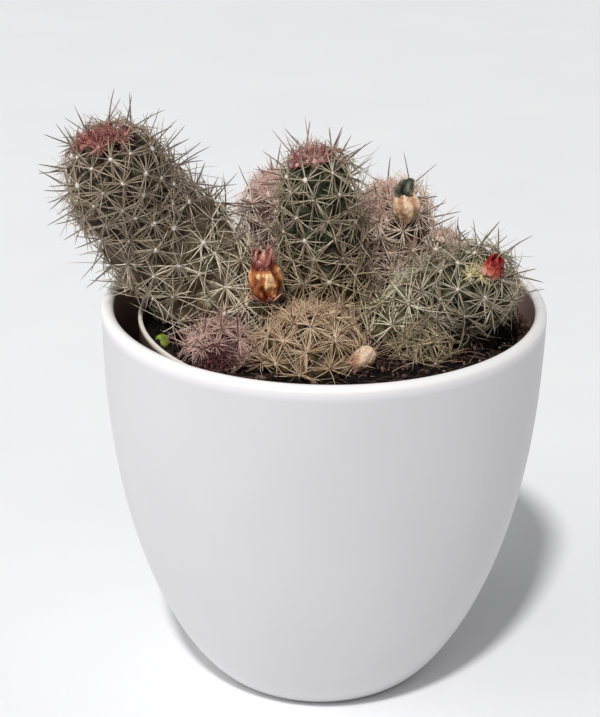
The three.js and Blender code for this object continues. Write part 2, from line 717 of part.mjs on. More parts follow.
// A seedling with two round leaves on a stalk that stands in the soil.
class Sprout {
  constructor() {
    const [x, y] = SPROUT.at;
    const local = new THREE.Vector3(x, y, COVER.height).applyMatrix4(intoAskew);
    local.z = soilHeight(local.x, local.y);
    this.ground = local.applyMatrix4(askew.matrixWorld);
  }

  stalk(radius, low, high) {
    const rod = new THREE.CylinderGeometry(radius, radius, high - low, 8).rotateX(Math.PI / 2);
    return rod.translate(this.ground.x, this.ground.y, this.ground.z + (low + high) / 2);
  }

  socket() {
    return this.stalk(SPROUT.stalk + CLEARANCE, -SPROUT.sunk - CLEARANCE, 2 * SPROUT.rise);
  }

  leaf(sideways) {
    const leaf = new THREE.SphereGeometry(1, 12, 8).scale(SPROUT.leaf, SPROUT.leafWidth, SPROUT.leafThick);
    const { x, y, z } = this.ground;
    leaf.rotateY(-sideways * SPROUT.droop);
    return leaf.translate(x + sideways * SPROUT.apart, y + sideways * SPROUT.skew, z + SPROUT.leafRise);
  }

  mesh() {
    const leaves = [-1, 1].map((sideways) => toSolid(this.leaf(sideways)));
    const stalk = toSolid(this.stalk(SPROUT.stalk, -SPROUT.sunk, SPROUT.rise));
    return mesh('sprout', toGeometry(stalk.add(leaves[0]).add(leaves[1])), COLOURS.sprout, 0.6);
  }

  get growthMark() {
    const tip = this.ground.clone().setZ(this.ground.z + SPROUT.leafRise);
    return { core: { root: this.ground, tip }, width: SPROUT.apart + SPROUT.leaf };
  }
}

// ---- Assembly -----------------------------------------------------------------------------------

function growStems(stems, others) {
  const growth = new Growth(stems, others);
  return stems.map((stem) => {
    stem.closeBody();
    stem.pads.forEach((pad) => stem.addTubercle(pad, growth));
    return mesh(stem.name, stem.surface.geometry(), stem.colour, 0.85);
  });
}

function pottedCactus() {
  const group = new THREE.Group();
  const stems = STEMS.map((spec) => new Stem(spec));
  stems.forEach((stem) => stem.layOut(stems.filter((other) => other !== stem)));
  const blooms = BLOOMS.map((spec) => bloom(spec, stems));
  const pup = dryPup();
  const sprout = new Sprout();
  askew.add(nurseryPot(), pottingSoil(stems, sprout));
  group.add(coverPot(), askew);
  group.add(...growStems(stems, [...blooms, pup, sprout.growthMark]));
  group.add(...blooms.map((made) => made.mesh), pup.mesh, sprout.mesh());
  return group;
}

export default pottedCactus();
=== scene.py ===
"""A potted clustering cactus: spiny stems that lean out of a cream nursery pot, which stands
askew inside a white glazed cover pot.

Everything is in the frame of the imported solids: +Z up, the front of the plant towards -Y, the
origin at the centre of the cover pot's foot. Sizes are written in millimetres and angles in
radians, unless a comment says otherwise, and sizes are turned into metres where a mesh is made.
"""

import logging
import math
from dataclasses import dataclass, field, fields
from enum import Enum
import bpy
import numpy as np
from mathutils import Matrix, Vector, kdtree, noise


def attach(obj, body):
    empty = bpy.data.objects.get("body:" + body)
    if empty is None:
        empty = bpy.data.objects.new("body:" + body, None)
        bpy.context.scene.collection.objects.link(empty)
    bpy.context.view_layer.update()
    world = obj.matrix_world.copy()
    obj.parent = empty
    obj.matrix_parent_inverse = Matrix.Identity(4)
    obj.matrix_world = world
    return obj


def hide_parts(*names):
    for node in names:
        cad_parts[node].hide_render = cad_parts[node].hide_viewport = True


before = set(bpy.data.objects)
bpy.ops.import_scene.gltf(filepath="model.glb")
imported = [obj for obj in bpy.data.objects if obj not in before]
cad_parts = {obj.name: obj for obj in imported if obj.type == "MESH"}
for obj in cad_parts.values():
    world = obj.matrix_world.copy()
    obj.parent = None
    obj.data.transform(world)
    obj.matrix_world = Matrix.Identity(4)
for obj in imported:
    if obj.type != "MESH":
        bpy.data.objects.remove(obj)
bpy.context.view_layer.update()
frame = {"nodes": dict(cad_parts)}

LOG = logging.getLogger("potted_cactus")
MM = 0.001
TAU = 2 * math.pi
UP = (0.0, 0.0, 1.0)
Array = np.ndarray
Socket = bpy.types.NodeSocket
Triple = tuple[float, float, float]
Span = tuple[float, float, float]  # random numbers: the least, the spread, how seldom high
Tones = tuple[str, ...]
Values = dict[int | str, object]
SHARE, UNDER, OVER, MIXED = 0, 6, 7, 2  # the sockets of a colour mix, by number


# ---- Colour, nodes and finishes ------------------------------------------------------------


def linear(code: str) -> tuple[float, float, float, float]:
    """Turns an sRGB hex colour into linear light.

    Args:
        code: The colour as "#rrggbb".

    Returns:
        Red, green, blue and an alpha of one.
    """
    shares = [int(code[i : i + 2], 16) / 255 for i in (1, 3, 5)]
    light = [c / 12.92 if c <= 0.04045 else ((c + 0.055) / 1.055) ** 2.4 for c in shares]
    return (light[0], light[1], light[2], 1.0)


def per_mm(size: float) -> float:
    """Texture scale at which one feature of a pattern is this many millimetres wide."""
    return 1.0 / (size * MM)


def add_node(
    tree: bpy.types.NodeTree,
    kind: str,
    settings: Values | None = None,
    links: dict[int | str, Socket] | None = None,
    out: int | str = 0,
) -> Socket:
    """Adds one shader node to a tree, with its settings and its links.

    Args:
        tree: The node tree.
        kind: The node's type, without the "ShaderNode" that all of them start with.
        settings: Attributes, or values of unlinked sockets, by name or number; "stops" holds
            the positions and hex colours of a colour ramp.
        links: The output that feeds each input, by the input's name or number.
        out: The name or number of the output that is wanted.

    Returns:
        That output.
    """
    node = tree.nodes.new(f"ShaderNode{kind}")
    for key, value in (settings or {}).items():
        if key == "stops":
            ramp = node.color_ramp.elements
            while len(ramp) < len(value):
                ramp.new(0.5)
            for element, (place, code) in zip(ramp, value):
                element.position, element.color = place, linear(code)
        elif isinstance(key, str) and hasattr(node, key):
            setattr(node, key, value)
        else:
            node.inputs[key].default_value = value
    for key, source in (links or {}).items():
        tree.links.new(source, node.inputs[key])
    return node.outputs[out]


@dataclass(frozen=True)
class Finish:
    """A real material: clouds of colour over a finer relief, and how it takes the light.

    Most finishes are this with their own numbers. A noise is given as the width of its
    features in millimetres, its detail and its distortion.
    """

    name: str
    tones: Tones = ()
    places: tuple[float, ...] = (0.3, 0.7)  # where the tones stand on the ramp
    roughness: float = 0.6
    ior: float = 1.45
    gloss: float | None = None  # roughness where the clouds are dark, if it differs
    glossy: tuple[float, float] = (0.0, 1.0)  # the clouds between gloss and roughness
    clouds: Triple = (1.0, 2.0, 0.0)
    rising: float = 0.0  # share of the clouds in the tone, if the mesh's rise takes part
    lip: str = ""  # painted highlight colour, where the mesh's rise is one
    grain: Triple | None = None  # the relief, if it isn't the clouds
    crumb: float = 0.0  # width of the crumbs in the relief
    depth: float = 0.0  # depth of the relief
    translucent: float = 0.0
    reach: Triple = (1.0, 1.0, 1.0)  # how far red, green and blue light get inside

    def build(self) -> bpy.types.Material:
        """Makes the material, or gives back the one that was made before.

        Returns:
            The material, with its shader and pattern in place.
        """
        made = bpy.data.materials.get(self.name)
        if made is None:
            made = bpy.data.materials.new(self.name)
            made.use_nodes = True
            shader = made.node_tree.nodes["Principled BSDF"]
            values = {"Roughness": self.roughness, "IOR": self.ior}
            if self.translucent:
                values["Subsurface Weight"] = self.translucent
                values["Subsurface Radius"] = [reach * MM for reach in self.reach]
            for name, value in values.items():
                shader.inputs[name].default_value = value
            for name, source in self.pattern(made.node_tree).items():
                made.node_tree.links.new(source, shader.inputs[name])
        return made

    def stops(self, tones: Tones) -> list[tuple[float, str]]:
        """The stops of a colour ramp with these tones."""
        return list(zip(self.places, tones))

    def pattern(self, tree: bpy.types.NodeTree) -> dict[str, Socket]:
        """Adds the clouds, the relief and the gloss.

        Args:
            tree: The material's node tree.

        Returns:
            What feeds each of the shader's sockets.
        """
        place = add_node(tree, "TexCoord", out="Object")
        sizes = [self.clouds, self.grain or self.clouds] if self.depth else [self.clouds]
        noises = [
            add_node(
                tree,
                "TexNoise",
                {"Scale": per_mm(width), "Detail": detail, "Distortion": warp},
                {"Vector": place},
            )
            for width, detail, warp in sizes
        ]
        clouds = tone = noises[0]
        rise = {"attribute_name": "rise"}
        if self.rising:
            links = {0: clouds, 2: add_node(tree, "Attribute", rise, out="Fac")}
            tone = add_node(tree, "Math", {"operation": "MULTIPLY_ADD", 1: self.rising}, links)
        tint = add_node(tree, "ValToRGB", {"stops": self.stops(self.tones)}, {"Fac": tone})
        # A lip colour is a painted highlight, mixed in where the mesh's rise is high.
        if self.lip:
            links = {SHARE: add_node(tree, "Attribute", rise, out="Fac"), UNDER: tint}
            paler = {"data_type": "RGBA", OVER: linear(self.lip)}
            tint = add_node(tree, "Mix", paler, links, MIXED)
        feeds = {"Base Color": tint}
        if self.gloss is not None:
            span = dict(zip(("From Min", "From Max"), self.glossy))
            span |= {"To Min": self.gloss, "To Max": self.roughness}
            feeds["Roughness"] = add_node(tree, "MapRange", span, {"Value": clouds})
        if self.depth:
            height = noises[1]
            if self.crumb:
                crumbs = add_node(
                    tree, "TexVoronoi", {"Scale": per_mm(self.crumb)}, {"Vector": place}
                )
                height = add_node(tree, "Math", {"operation": "ADD"}, {0: crumbs, 1: height})
            bump = add_node(tree, "Bump", {"Distance": self.depth * MM}, {"Height": height})
            feeds["Normal"] = bump
        return feeds


@dataclass(frozen=True)
class Glaze(Finish):
    """Glaze fired on slip-cast stoneware: smooth and softly glossy, with faint clouds, a lip
    painted lighter as a highlight and the slow ripple of a glaze that has run."""

    places: tuple[float, ...] = (0.35, 0.65)
    ior: float = 1.52
    clouds: Triple = (30.0, 3.0, 0.0)
    grain: Triple | None = (9.0, 2.0, 0.0)
    depth: float = 0.05


@dataclass(frozen=True)
class Dried(Finish):
    """Shrivelled plant tissue, dried on the plant: papery where it is pale and still resinous and
    glossy where it is dark, with creases that catch the light. Its tone follows the mesh's rise,
    which makes the crests of lobes and folds lighter and the creases darker as painted light and
    shade."""

    places: tuple[float, ...] = (0.35, 0.8, 1.0)
    glossy: tuple[float, float] = (0.35, 0.65)
    clouds: Triple = (2.5, 5.0, 0.0)
    rising: float = 0.7
    grain: Triple | None = (1.2, 4.0, 1.5)
    depth: float = 0.25
    translucent: float = 0.12
    reach: Triple = (1.5, 0.6, 0.3)


@dataclass(frozen=True)
class Assorted(Finish):
    """Small loose or growing things that differ one by one: U picks the tone of each, and V
    runs along it, from its root tone to its tip tone."""

    tips: Tones = ()
    turn: tuple[float, float] = (0.55, 1.0)  # where along it the tone changes
    reach: Triple = (0.6, 0.5, 0.4)

    def pattern(self, tree: bpy.types.NodeTree) -> dict[str, Socket]:
        """Adds the two ramps and mixes them along each thing.

        Args:
            tree: The material's node tree.

        Returns:
            What feeds the shader's colour.
        """
        chart = {"Vector": add_node(tree, "UVMap", {"uv_map": "OFBake"})}
        pick, along = (add_node(tree, "SeparateXYZ", links=chart, out=axis) for axis in "XY")
        roots, tips = (
            add_node(tree, "ValToRGB", {"stops": self.stops(tones)}, {"Fac": pick})
            for tones in (self.tones, self.tips)
        )
        span = dict(zip(("From Min", "From Max"), self.turn), interpolation_type="SMOOTHSTEP")
        share = add_node(tree, "MapRange", span, {"Value": along})
        links = {SHARE: share, UNDER: roots, OVER: tips}
        return {"Base Color": add_node(tree, "Mix", {"data_type": "RGBA"}, links, MIXED)}


@dataclass(frozen=True)
class Skin(Finish):
    """A cactus's own skin, grown with a wax over it: matt, green where it is young, corky towards
    the root, with greyish purple blotches from sun, and painted shade that darkens the furrows
    between the tubercles almost to black."""

    ridge: str = "#4b5238"
    # The furrow colour is painted shade, nearly black, for the shadow between the tubercles.
    furrow: str = "#1f2417"
    blotch: str = "#5f534c"
    cork: str = "#5a4836"
    bare: str = "#a3a893"

    def pattern(self, tree: bpy.types.NodeTree) -> dict[str, Socket]:
        """Adds blotches of 5 mm, painted shade in the furrows, cork by age and a skin grain of 0.5
        mm.

        Args:
            tree: The material's node tree.

        Returns:
            What feeds each of the shader's sockets.
        """
        place = add_node(tree, "TexCoord", out="Object")
        rise, age = (
            add_node(tree, "Attribute", {"attribute_name": name}, out="Fac")
            for name in ("rise", "age")
        )
        blotches, grain = (
            add_node(
                tree, "TexNoise", {"Scale": per_mm(width), "Detail": detail}, {"Vector": place}
            )
            for width, detail in ((5.0, 4.0), (0.5, 3.0))
        )
        # Each layer covers the ones before it where its source lies in its span.
        layers = (
            (blotches, (0.46, 0.62), (0.0, 1.0), self.blotch),
            # Where the rise is low, between tubercles, the skin takes the furrow colour: painted
            # shade.
            (rise, (0.05, 0.55), (1.0, 0.0), self.furrow),
            (age, (0.35, 0.95), (0.0, 0.85), self.cork),
            (age, (1.1, 2.0), (0.0, 1.0), self.bare),
        )
        below: dict[int, Socket] = {}
        for source, span, cover, code in layers:
            ends = dict(zip(("From Min", "From Max", "To Min", "To Max"), span + cover))
            share = add_node(tree, "MapRange", ends, {"Value": source})
            colours = {"data_type": "RGBA", UNDER: linear(self.ridge), OVER: linear(code)}
            below = {UNDER: add_node(tree, "Mix", colours, {SHARE: share, **below}, MIXED)}
        speck = add_node(tree, "MapRange", {"To Min": 0.75, "To Max": 1.2}, {"Value": grain})
        links = {"Color": below[UNDER], "Value": speck}
        return {
            "Base Color": add_node(tree, "HueSaturation", {"Saturation": 1.05}, links),
            "Normal": add_node(tree, "Bump", {"Distance": 0.12 * MM}, {"Height": grain}),
        }


# ---- Meshes ----------------------------------------------------------------------------------


def linked(name: str, data: bpy.types.ID) -> bpy.types.Object:
    """Makes an object of some data and links it to the scene.

    Args:
        name: Its name.
        data: Its mesh, camera or light.

    Returns:
        The object.
    """
    made = bpy.data.objects.new(name, data)
    bpy.context.scene.collection.objects.link(made)
    return made


@dataclass
class Form:
    """Points and faces of one piece, gathered part by part, in millimetres."""

    points: list[Array] = field(default_factory=list)
    charts: list[Array] = field(default_factory=list)
    faces: list[Array] = field(default_factory=list)
    finishes: list[Array] = field(default_factory=list)
    # The "rise" value also carries painted light and shade: the highlight on the cover pot's lip,
    # the shade of the gap under the nursery pot's rim, the shade in a stem's furrows and the lit
    # crests and highlights of the blooms.
    values: dict[str, list[Array]] = field(default_factory=lambda: {"rise": [], "age": []})
    count: int = 0

    def add(
        self,
        points: Array,
        faces: list[Array],
        chart: Array | None = None,
        finish: int | tuple[int, ...] = 0,
        **values: Array,
    ) -> None:
        """Adds a part.

        Args:
            points: One row for each point.
            faces: Arrays of triangles or quads, as rows of point numbers in this part.
            chart: U and V of each point.
            finish: Which of the piece's finishes the part has, or each of its arrays.
            values: What "rise" or "age" is at each point.
        """
        amount = len(points)
        self.points.append(points)
        self.charts.append(np.zeros((amount, 2)) if chart is None else chart)
        for name, store in self.values.items():
            store.append(np.broadcast_to(values.get(name, 0.5), amount).astype(float))
        for group, number in zip(faces, np.broadcast_to(finish, len(faces))):
            self.faces.append(group + self.count)
            self.finishes.append(np.full(len(group), number))
        self.count += amount

    def piece(self, name: str, finishes: list[Finish], smooth: bool = True) -> bpy.types.Object:
        """Makes the Blender object.

        Args:
            name: The piece's name.
            finishes: Its finishes, in the order of their numbers.
            smooth: Whether its faces are shaded smooth.

        Returns:
            The object, linked to the scene.
        """
        mesh = bpy.data.meshes.new(name)
        points = np.concatenate(self.points) * MM
        corners = np.concatenate([group.ravel() for group in self.faces]).astype(np.int32)
        sizes = np.concatenate([np.full(len(group), group.shape[1]) for group in self.faces])
        mesh.vertices.add(len(points))
        mesh.vertices.foreach_set("co", points.astype(np.float32).ravel())
        mesh.loops.add(len(corners))
        mesh.loops.foreach_set("vertex_index", corners)
        mesh.polygons.add(len(sizes))
        starts = np.concatenate(([0], np.cumsum(sizes)[:-1])).astype(np.int32)
        mesh.polygons.foreach_set("loop_start", starts)
        mesh.polygons.foreach_set("use_smooth", np.full(len(sizes), smooth))
        numbers = np.concatenate(self.finishes).astype(np.int32)
        mesh.polygons.foreach_set("material_index", numbers)
        if any(isinstance(finish, Assorted) for finish in finishes):
            chart = np.concatenate(self.charts)[corners].astype(np.float32)
            mesh.uv_layers.new(name="OFBake").data.foreach_set("uv", chart.ravel())
        for value_name, store in self.values.items():
            attribute = mesh.attributes.new(value_name, "FLOAT", "POINT")
            attribute.data.foreach_set("value", np.concatenate(store).astype(np.float32))
        mesh.update(calc_edges=True)
        mesh.validate()
        for finish in finishes:
            mesh.materials.append(finish.build())
        return linked(name, mesh)


def settle(piece: bpy.types.Object, node: str | None = None) -> None:
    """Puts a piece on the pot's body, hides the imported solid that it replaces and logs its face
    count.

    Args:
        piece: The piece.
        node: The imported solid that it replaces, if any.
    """
    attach(piece, "root")
    if node:
        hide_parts(node)
    LOG.info("%s: %d faces", piece.name, len(piece.data.polygons))


def grid(rows: int, columns: int) -> Array:
    """Quads between rings of points that are numbered ring by ring.

    Args:
        rows: How many rings.
        columns: How many points each ring has.

    Returns:
        The quads, turned so that rings that rise anticlockwise face outwards.
    """
    low = np.arange(rows - 1)[:, None] * columns
    here = np.arange(columns)[None, :]
    after = (here + 1) % columns
    quads = [low + here, low + after, low + columns + after, low + columns + here]
    return np.stack(quads, axis=-1).reshape(-1, 4)


def fan(ring: Array, middle: int, upwards: bool) -> Array:
    """Triangles that close a ring with one point.

    Args:
        ring: The ring's point numbers.
        middle: The number of the point in the middle.
        upwards: Whether the triangles face the way in which the rings rise.

    Returns:
        The triangles.
    """
    after = np.roll(ring, -1)
    ends = np.full(len(ring), middle)
    return np.stack((ring, after, ends) if upwards else (after, ring, ends), axis=-1)


def closed(rows: int, columns: int) -> list[Array]:
    """Makes the faces of a skin of rings that two last points close at its foot and its tip.

    Args:
        rows: How many rings.
        columns: How many points each ring has.

    Returns:
        The quads, and the triangles at the foot and at the tip.
    """
    first, total = np.arange(columns), rows * columns
    return [
        grid(rows, columns),
        fan(first, total, False),
        fan(first + total - columns, total + 1, True),
    ]


def around(count: int) -> Array:
    """Angles that part a full turn evenly."""
    return np.arange(count) / count * TAU


def polar(radius: Array, turn: Array, height: Array | float) -> Array:
    """Points at a radius and an angle about the Z axis, and at a height."""
    spread = np.broadcast_arrays(radius * np.cos(turn), radius * np.sin(turn), height)
    return np.stack(spread, axis=-1)


def turned(profile: Array, sides: int) -> Array:
    """Points of a profile of radii and heights, turned about the Z axis ring by ring."""
    return polar(profile[:, :1], around(sides), profile[:, 1:]).reshape(-1, 3)


def unit(vectors: Array) -> Array:
    """Vectors of length one."""
    return vectors / np.maximum(np.linalg.norm(vectors, axis=-1, keepdims=True), 1e-9)


def fade(value: Array | float, low: float, high: float) -> Array:
    """Smooth step from 0 at low to 1 at high."""
    share = np.clip((np.asarray(value, float) - low) / (high - low), 0, 1)
    return share * share * (3 - 2 * share)


def roughened(points: Array, size: float, offset: float = 0.0) -> Array:
    """Smooth random values from -1 to 1 at points, in swells of a size; the offset draws
    another pattern."""
    return np.array([noise.noise(Vector(point / size + offset)) for point in points])


def pebble() -> tuple[Array, Array]:
    """Makes a twenty-sided lump of radius one.

    Returns:
        Its corners and its triangles.
    """
    long = (1 + math.sqrt(5)) / 2
    corners = [
        (-1, long, 0), (1, long, 0), (-1, -long, 0), (1, -long, 0), (0, -1, long), (0, 1, long),
        (0, -1, -long), (0, 1, -long), (long, 0, -1), (long, 0, 1), (-long, 0, -1), (-long, 0, 1),
    ]
    faces = [
        (0, 11, 5), (0, 5, 1), (0, 1, 7), (0, 7, 10), (0, 10, 11), (1, 5, 9), (5, 11, 4),
        (11, 10, 2), (10, 7, 6), (7, 1, 8), (3, 9, 4), (3, 4, 2), (3, 2, 6), (3, 6, 8),
        (3, 8, 9), (4, 9, 5), (2, 4, 11), (6, 2, 10), (8, 6, 7), (9, 8, 1),
    ]
    return unit(np.array(corners, float)), np.array(faces)


PEBBLE, PEBBLE_FACES = pebble()
# Height on a lump from 0 to 1; as V it gives the upper side the lighter tip tones, painted light.
PEBBLE_LIT_SHARE = 0.5 + 0.5 * PEBBLE[:, 2]


@dataclass
class Needles:
    """Thin tapering needles, such as spines, wool and fibres, made in one go."""

    sides: int = 4
    stations: tuple[float, ...] = (0.0, 0.3, 0.6, 0.86)  # where the rings lie along it
    waists: tuple[float, ...] = (1.0, 0.92, 0.72, 0.42)  # how thick it is there
    batches: list[tuple[Array, ...]] = field(default_factory=list)

    def add(self, *batch: Array) -> None:
        """Adds needles.

        Args:
            batch: The root, the direction of length one, the length, the radius at the root,
                how the tip is drawn aside as a share of the length, and the U that picks the
                tone, with one row for each needle.
        """
        self.batches.append(batch)

    def gathered(self) -> list[Array]:
        """All the batches as one."""
        return [np.concatenate(parts) for parts in zip(*self.batches)]

    def into(self, form: Form) -> None:
        """Adds the needles to a form, with V from 0 at the root to 1 at the tip.

        Args:
            form: The form.
        """
        root, aim, length, thick, bend, tint = self.gathered()
        count, levels, sides = len(root), len(self.stations), self.sides
        upright = np.where(np.abs(aim[:, 2:]) < 0.9, [UP], [[1.0, 0.0, 0.0]])
        side = unit(np.cross(aim, upright))
        other = np.cross(aim, side)
        share = np.array([*self.stations, 1.0])
        reach = length[:, None, None] * share[None, :, None]
        spine = root[:, None] + aim[:, None] * reach + bend[:, None] * reach * share[None, :, None]
        turn = around(sides)[None, :, None]
        ring = side[:, None] * np.cos(turn) + other[:, None] * np.sin(turn)
        width = thick[:, None] * np.array(self.waists)[None]
        rings = spine[:, :levels, None] + ring[:, None] * width[:, :, None, None]
        points = np.concatenate([rings.reshape(count, -1, 3), spine[:, -1:]], axis=1)
        per = points.shape[1]
        along = np.concatenate([np.repeat(self.stations, sides), [1.0]])
        chart = np.stack([np.repeat(tint, per), np.tile(along, count)], axis=-1)
        shift = np.arange(count)[:, None, None] * per
        quads = (grid(levels, sides)[None] + shift).reshape(-1, 4)
        tips = fan(np.arange(sides) + (levels - 1) * sides, per - 1, True)
        faces = [quads, (tips[None] + shift).reshape(-1, 3)]
        form.add(points.reshape(-1, 3), faces, chart)


# ---- Pots and soil -----------------------------------------------------------------------------

# Both glazes turn lighter towards the top of the rim: a painted highlight on the lip.
WHITE_GLAZE = Glaze(
    "white satin glaze on stoneware", ("#d1d0d3", "#d4d3d6"), roughness=0.4, gloss=0.29,
    lip="#fbf8f6",
)
BROWN_GLAZE = Glaze(
    "dark brown glaze on stoneware", ("#a1877d", "#b59c93"), roughness=0.44, gloss=0.33,
    lip="#b59c93", grain=(6.0, 2.0, 0.0),
)
# Stoneware left bare in the kiln, under the foot: dry and pale, with half-millimetre grit.
CLAY = Finish(
    "unglazed stoneware", ("#b9ab97", "#d8cdbb"), roughness=0.9, ior=1.5, clouds=(0.5, 4.0, 0.0),
    depth=0.1,
)
# Thin polypropylene from a mould: half matt, with the mould's fine orange peel; cream only at the
# top of the rim and dark brown below it, painted shade of the deep gap between the pots.
CREAM_PLASTIC = Finish(
    "cream moulded polypropylene", ("#634c3e", "#84695a", "#a8977c", "#f3ecdf"),
    (0.2, 0.45, 0.75, 1.0), roughness=0.5, ior=1.49, clouds=(4.0, 6.0, 0.0), rising=0.5,
    grain=(0.8, 2.0, 0.0), depth=0.03, translucent=0.08, reach=(2.0, 1.8, 1.4),
)
# Moist peat, broken up by hand: brown crumbs among near-black clouds that are painted shade of the
# hollows, without any gloss.
SOIL = Finish(
    "moist peat soil", ("#070202", "#150a06", "#38231a"), (0.3, 0.58, 0.85), roughness=0.97,
    ior=1.33, clouds=(0.6, 5.0, 0.0), crumb=3.0, depth=0.9,
)
# The same peat dried into crumbs, with some pale grit, bark fibres and old spines among them.
GRAINS = Assorted(
    "loose peat crumbs and grit",
    ("#060403", "#140d0a", "#33241c", "#7a5b4f", "#a58a7a", "#c4b49c"),
    (0.0, 0.5, 0.8, 0.92, 0.98, 1.0), roughness=0.95, ior=1.4,
    tips=("#0a0705", "#1b120d", "#41301f", "#8f6d62", "#b89e8e", "#d0c3ad"),
)
ON_AXIS = 0.01  # radius of the innermost ring of a turned pot


@dataclass
class CoverPot:
    """The round-bellied cover pot, white outside and brown inside."""

    rim_radius: float = 55.0
    height: float = 100.0
    foot_radius: float = 26.0
    wall: float = 3.0
    floor: float = 6.0
    swell: float = 27.5
    roundness: float = 2.4
    fullness: float = 0.74
    recess: float = 1.0
    gathering: float = 1.7  # how closely the rings lie near the foot
    lip_highlight_fade: tuple[float, float] = (2.4, 0.9)  # where the painted highlight on the lip begins and where it is full, below the top
    sides: int = 224
    steps: int = 72

    def radius(self, share: Array) -> Array:
        """Outside radius at a share of the height."""
        belly = self.swell * (1 - (1 - share) ** self.roundness) ** self.fullness
        return self.foot_radius + belly + (self.rim_radius - self.foot_radius - self.swell) * share

    def build(self) -> None:
        """Makes the pot as one turned shell with a recessed foot and a rounded lip."""
        lip, foot_radius, recess = self.wall / 2, self.foot_radius, self.recess
        top = self.height - lip
        share = (np.arange(self.steps + 1) / self.steps) ** self.gathering
        outside = np.stack([self.radius(share), share * top], axis=-1)
        outside[0] = (foot_radius - 0.5, 0.0)
        outside[1:3, 1] = np.maximum(outside[1:3, 1], [0.25, 0.5])
        foot = np.array([
            [ON_AXIS, recess], [foot_radius - 5, recess], [foot_radius - 4, 0.25],
            [foot_radius - 3.6, 0.0],
        ])
        turn = np.linspace(0, np.pi, 17)[1:]
        edge = np.stack([self.rim_radius - lip + lip * np.cos(turn), top + lip * np.sin(turn)], -1)
        down = share[::-1]
        depth = self.floor + down * (top - self.floor)
        inside = np.stack([self.radius(down) - self.wall, depth], axis=-1)[1:]
        profile = np.concatenate([foot, outside, edge, inside, [[ON_AXIS, self.floor]]])
        rings = grid(len(profile), self.sides).reshape(-1, self.sides, 4)
        # The white glaze ends just past the top of the lip.
        marks = (len(foot), len(foot) + len(outside) + len(edge) - 3)
        clay, white, brown = (part.reshape(-1, 4) for part in np.split(rings, marks))
        # The rise climbs near the top of the rim, where the glazes take a painted highlight.
        low, high = (self.height - down for down in self.lip_highlight_fade)
        paler = np.repeat(fade(profile[:, 1], low, high), self.sides)
        form = Form()
        form.add(
            turned(profile, self.sides), [clay, white, brown], finish=(2, 0, 1), rise=paler
        )
        piece = form.piece("cover_pot_shell", [WHITE_GLAZE, BROWN_GLAZE, CLAY])
        settle(piece, "cover_pot")


@dataclass
class NurseryPot:
    """The thin plastic pot that stands askew inside the cover pot."""

    rim_radius: float = 48.6
    base_radius: float = 33.0
    height: float = 77.7
    wall: float = 1.1
    band: float = 8.0
    band_step: float = 0.9
    taper: float = 0.7
    corner: float = 1.5
    lean: float = math.radians(2.74)
    shift: float = -1.2
    lift: float = 16.7
    clean: tuple[float, float] = (1.3, 0.5)  # where the painted shade of the gap ends, below the top
    sides: int = 192

    def stand(self, points: Array) -> Array:
        """Moves points from the nursery pot's own frame to where it leans.

        Args:
            points: The points.

        Returns:
            The moved points.
        """
        x, y, z = points.T
        cos, sin = math.cos(self.lean), math.sin(self.lean)
        return np.stack([x * cos + z * sin + self.shift, y, z * cos - x * sin + self.lift], -1)

    def unstand(self, points: Array) -> Array:
        """Moves points into the nursery pot's own frame.

        Args:
            points: The points.

        Returns:
            The moved points.
        """
        x, y, z = (points - np.array([self.shift, 0, self.lift])).T
        cos, sin = math.cos(self.lean), math.sin(self.lean)
        return np.stack([x * cos - z * sin, y, z * cos + x * sin], axis=-1)

    def inside(self, height: float) -> float:
        """Inside radius below the rim's band."""
        widening = self.rim_radius - self.taper - self.band_step - self.base_radius
        return self.base_radius + widening / (self.height - self.band) * height - self.wall

    def build(self) -> None:
        """Makes the pot as one turned shell, with the stepped band under its rim."""
        rim, base, wall, top = self.rim_radius, self.base_radius, self.wall, self.height
        foot = top - self.band
        below = self.inside(foot) + wall
        band = rim - self.taper
        curl = np.linspace(0, np.pi, 9)
        lip = np.stack(
            [rim - wall / 2 + wall / 2 * np.cos(curl), top - wall / 2 + wall / 2 * np.sin(curl)],
            axis=-1,
        )
        bottom = wall + self.corner
        profile = np.concatenate([
            [[ON_AXIS, 0], [base - self.corner, 0], [base - 0.4, 0.4], [base, self.corner],
             [below, foot - 0.2], [below + 0.3, foot], [band - 0.2, foot + 0.1],
             [band, foot + 0.5], [rim - 0.1, top - 1.5]],
            lip,
            [[rim - wall - 0.1, top - 1.5], [band - wall, foot + wall], [below - wall, foot],
             [self.inside(bottom), bottom], [base - self.corner - wall, wall], [ON_AXIS, wall]],
        ])
        # Below the top of the rim the plastic is painted dark brown: shade of the gap between the
        # pots.
        low, high = (top - down for down in self.clean)
        clean = np.repeat(fade(profile[:, 1], low, high), self.sides)
        points = self.stand(turned(profile, self.sides))
        form = Form()
        form.add(points, [grid(len(profile), self.sides)], rise=clean)
        settle(form.piece("nursery_pot_shell", [CREAM_PLASTIC]), "nursery_pot")


@dataclass(frozen=True)
class Strand:
    """A kind of thin thing that lies on the soil, and how it lies."""

    rising: Span  # how steeply it points up
    curl: float
    sag: float
    length: Span
    thick: Span
    tint: Span


FIBRE = Strand(
    rising=(0.0, 0.5, 2.0), curl=0.35, sag=1.0, length=(2.0, 5.0, 1.0), thick=(0.06, 0.06, 1.0),
    tint=(0.6, 0.28, 1.5),
)
FALLEN_SPINE = Strand(
    rising=(0.0, 0.75, 1.5), curl=0.12, sag=0.7, length=(3.5, 4.0, 1.0),
    thick=(0.12, 0.05, 1.0), tint=(0.8, 0.14, 1.0),
)


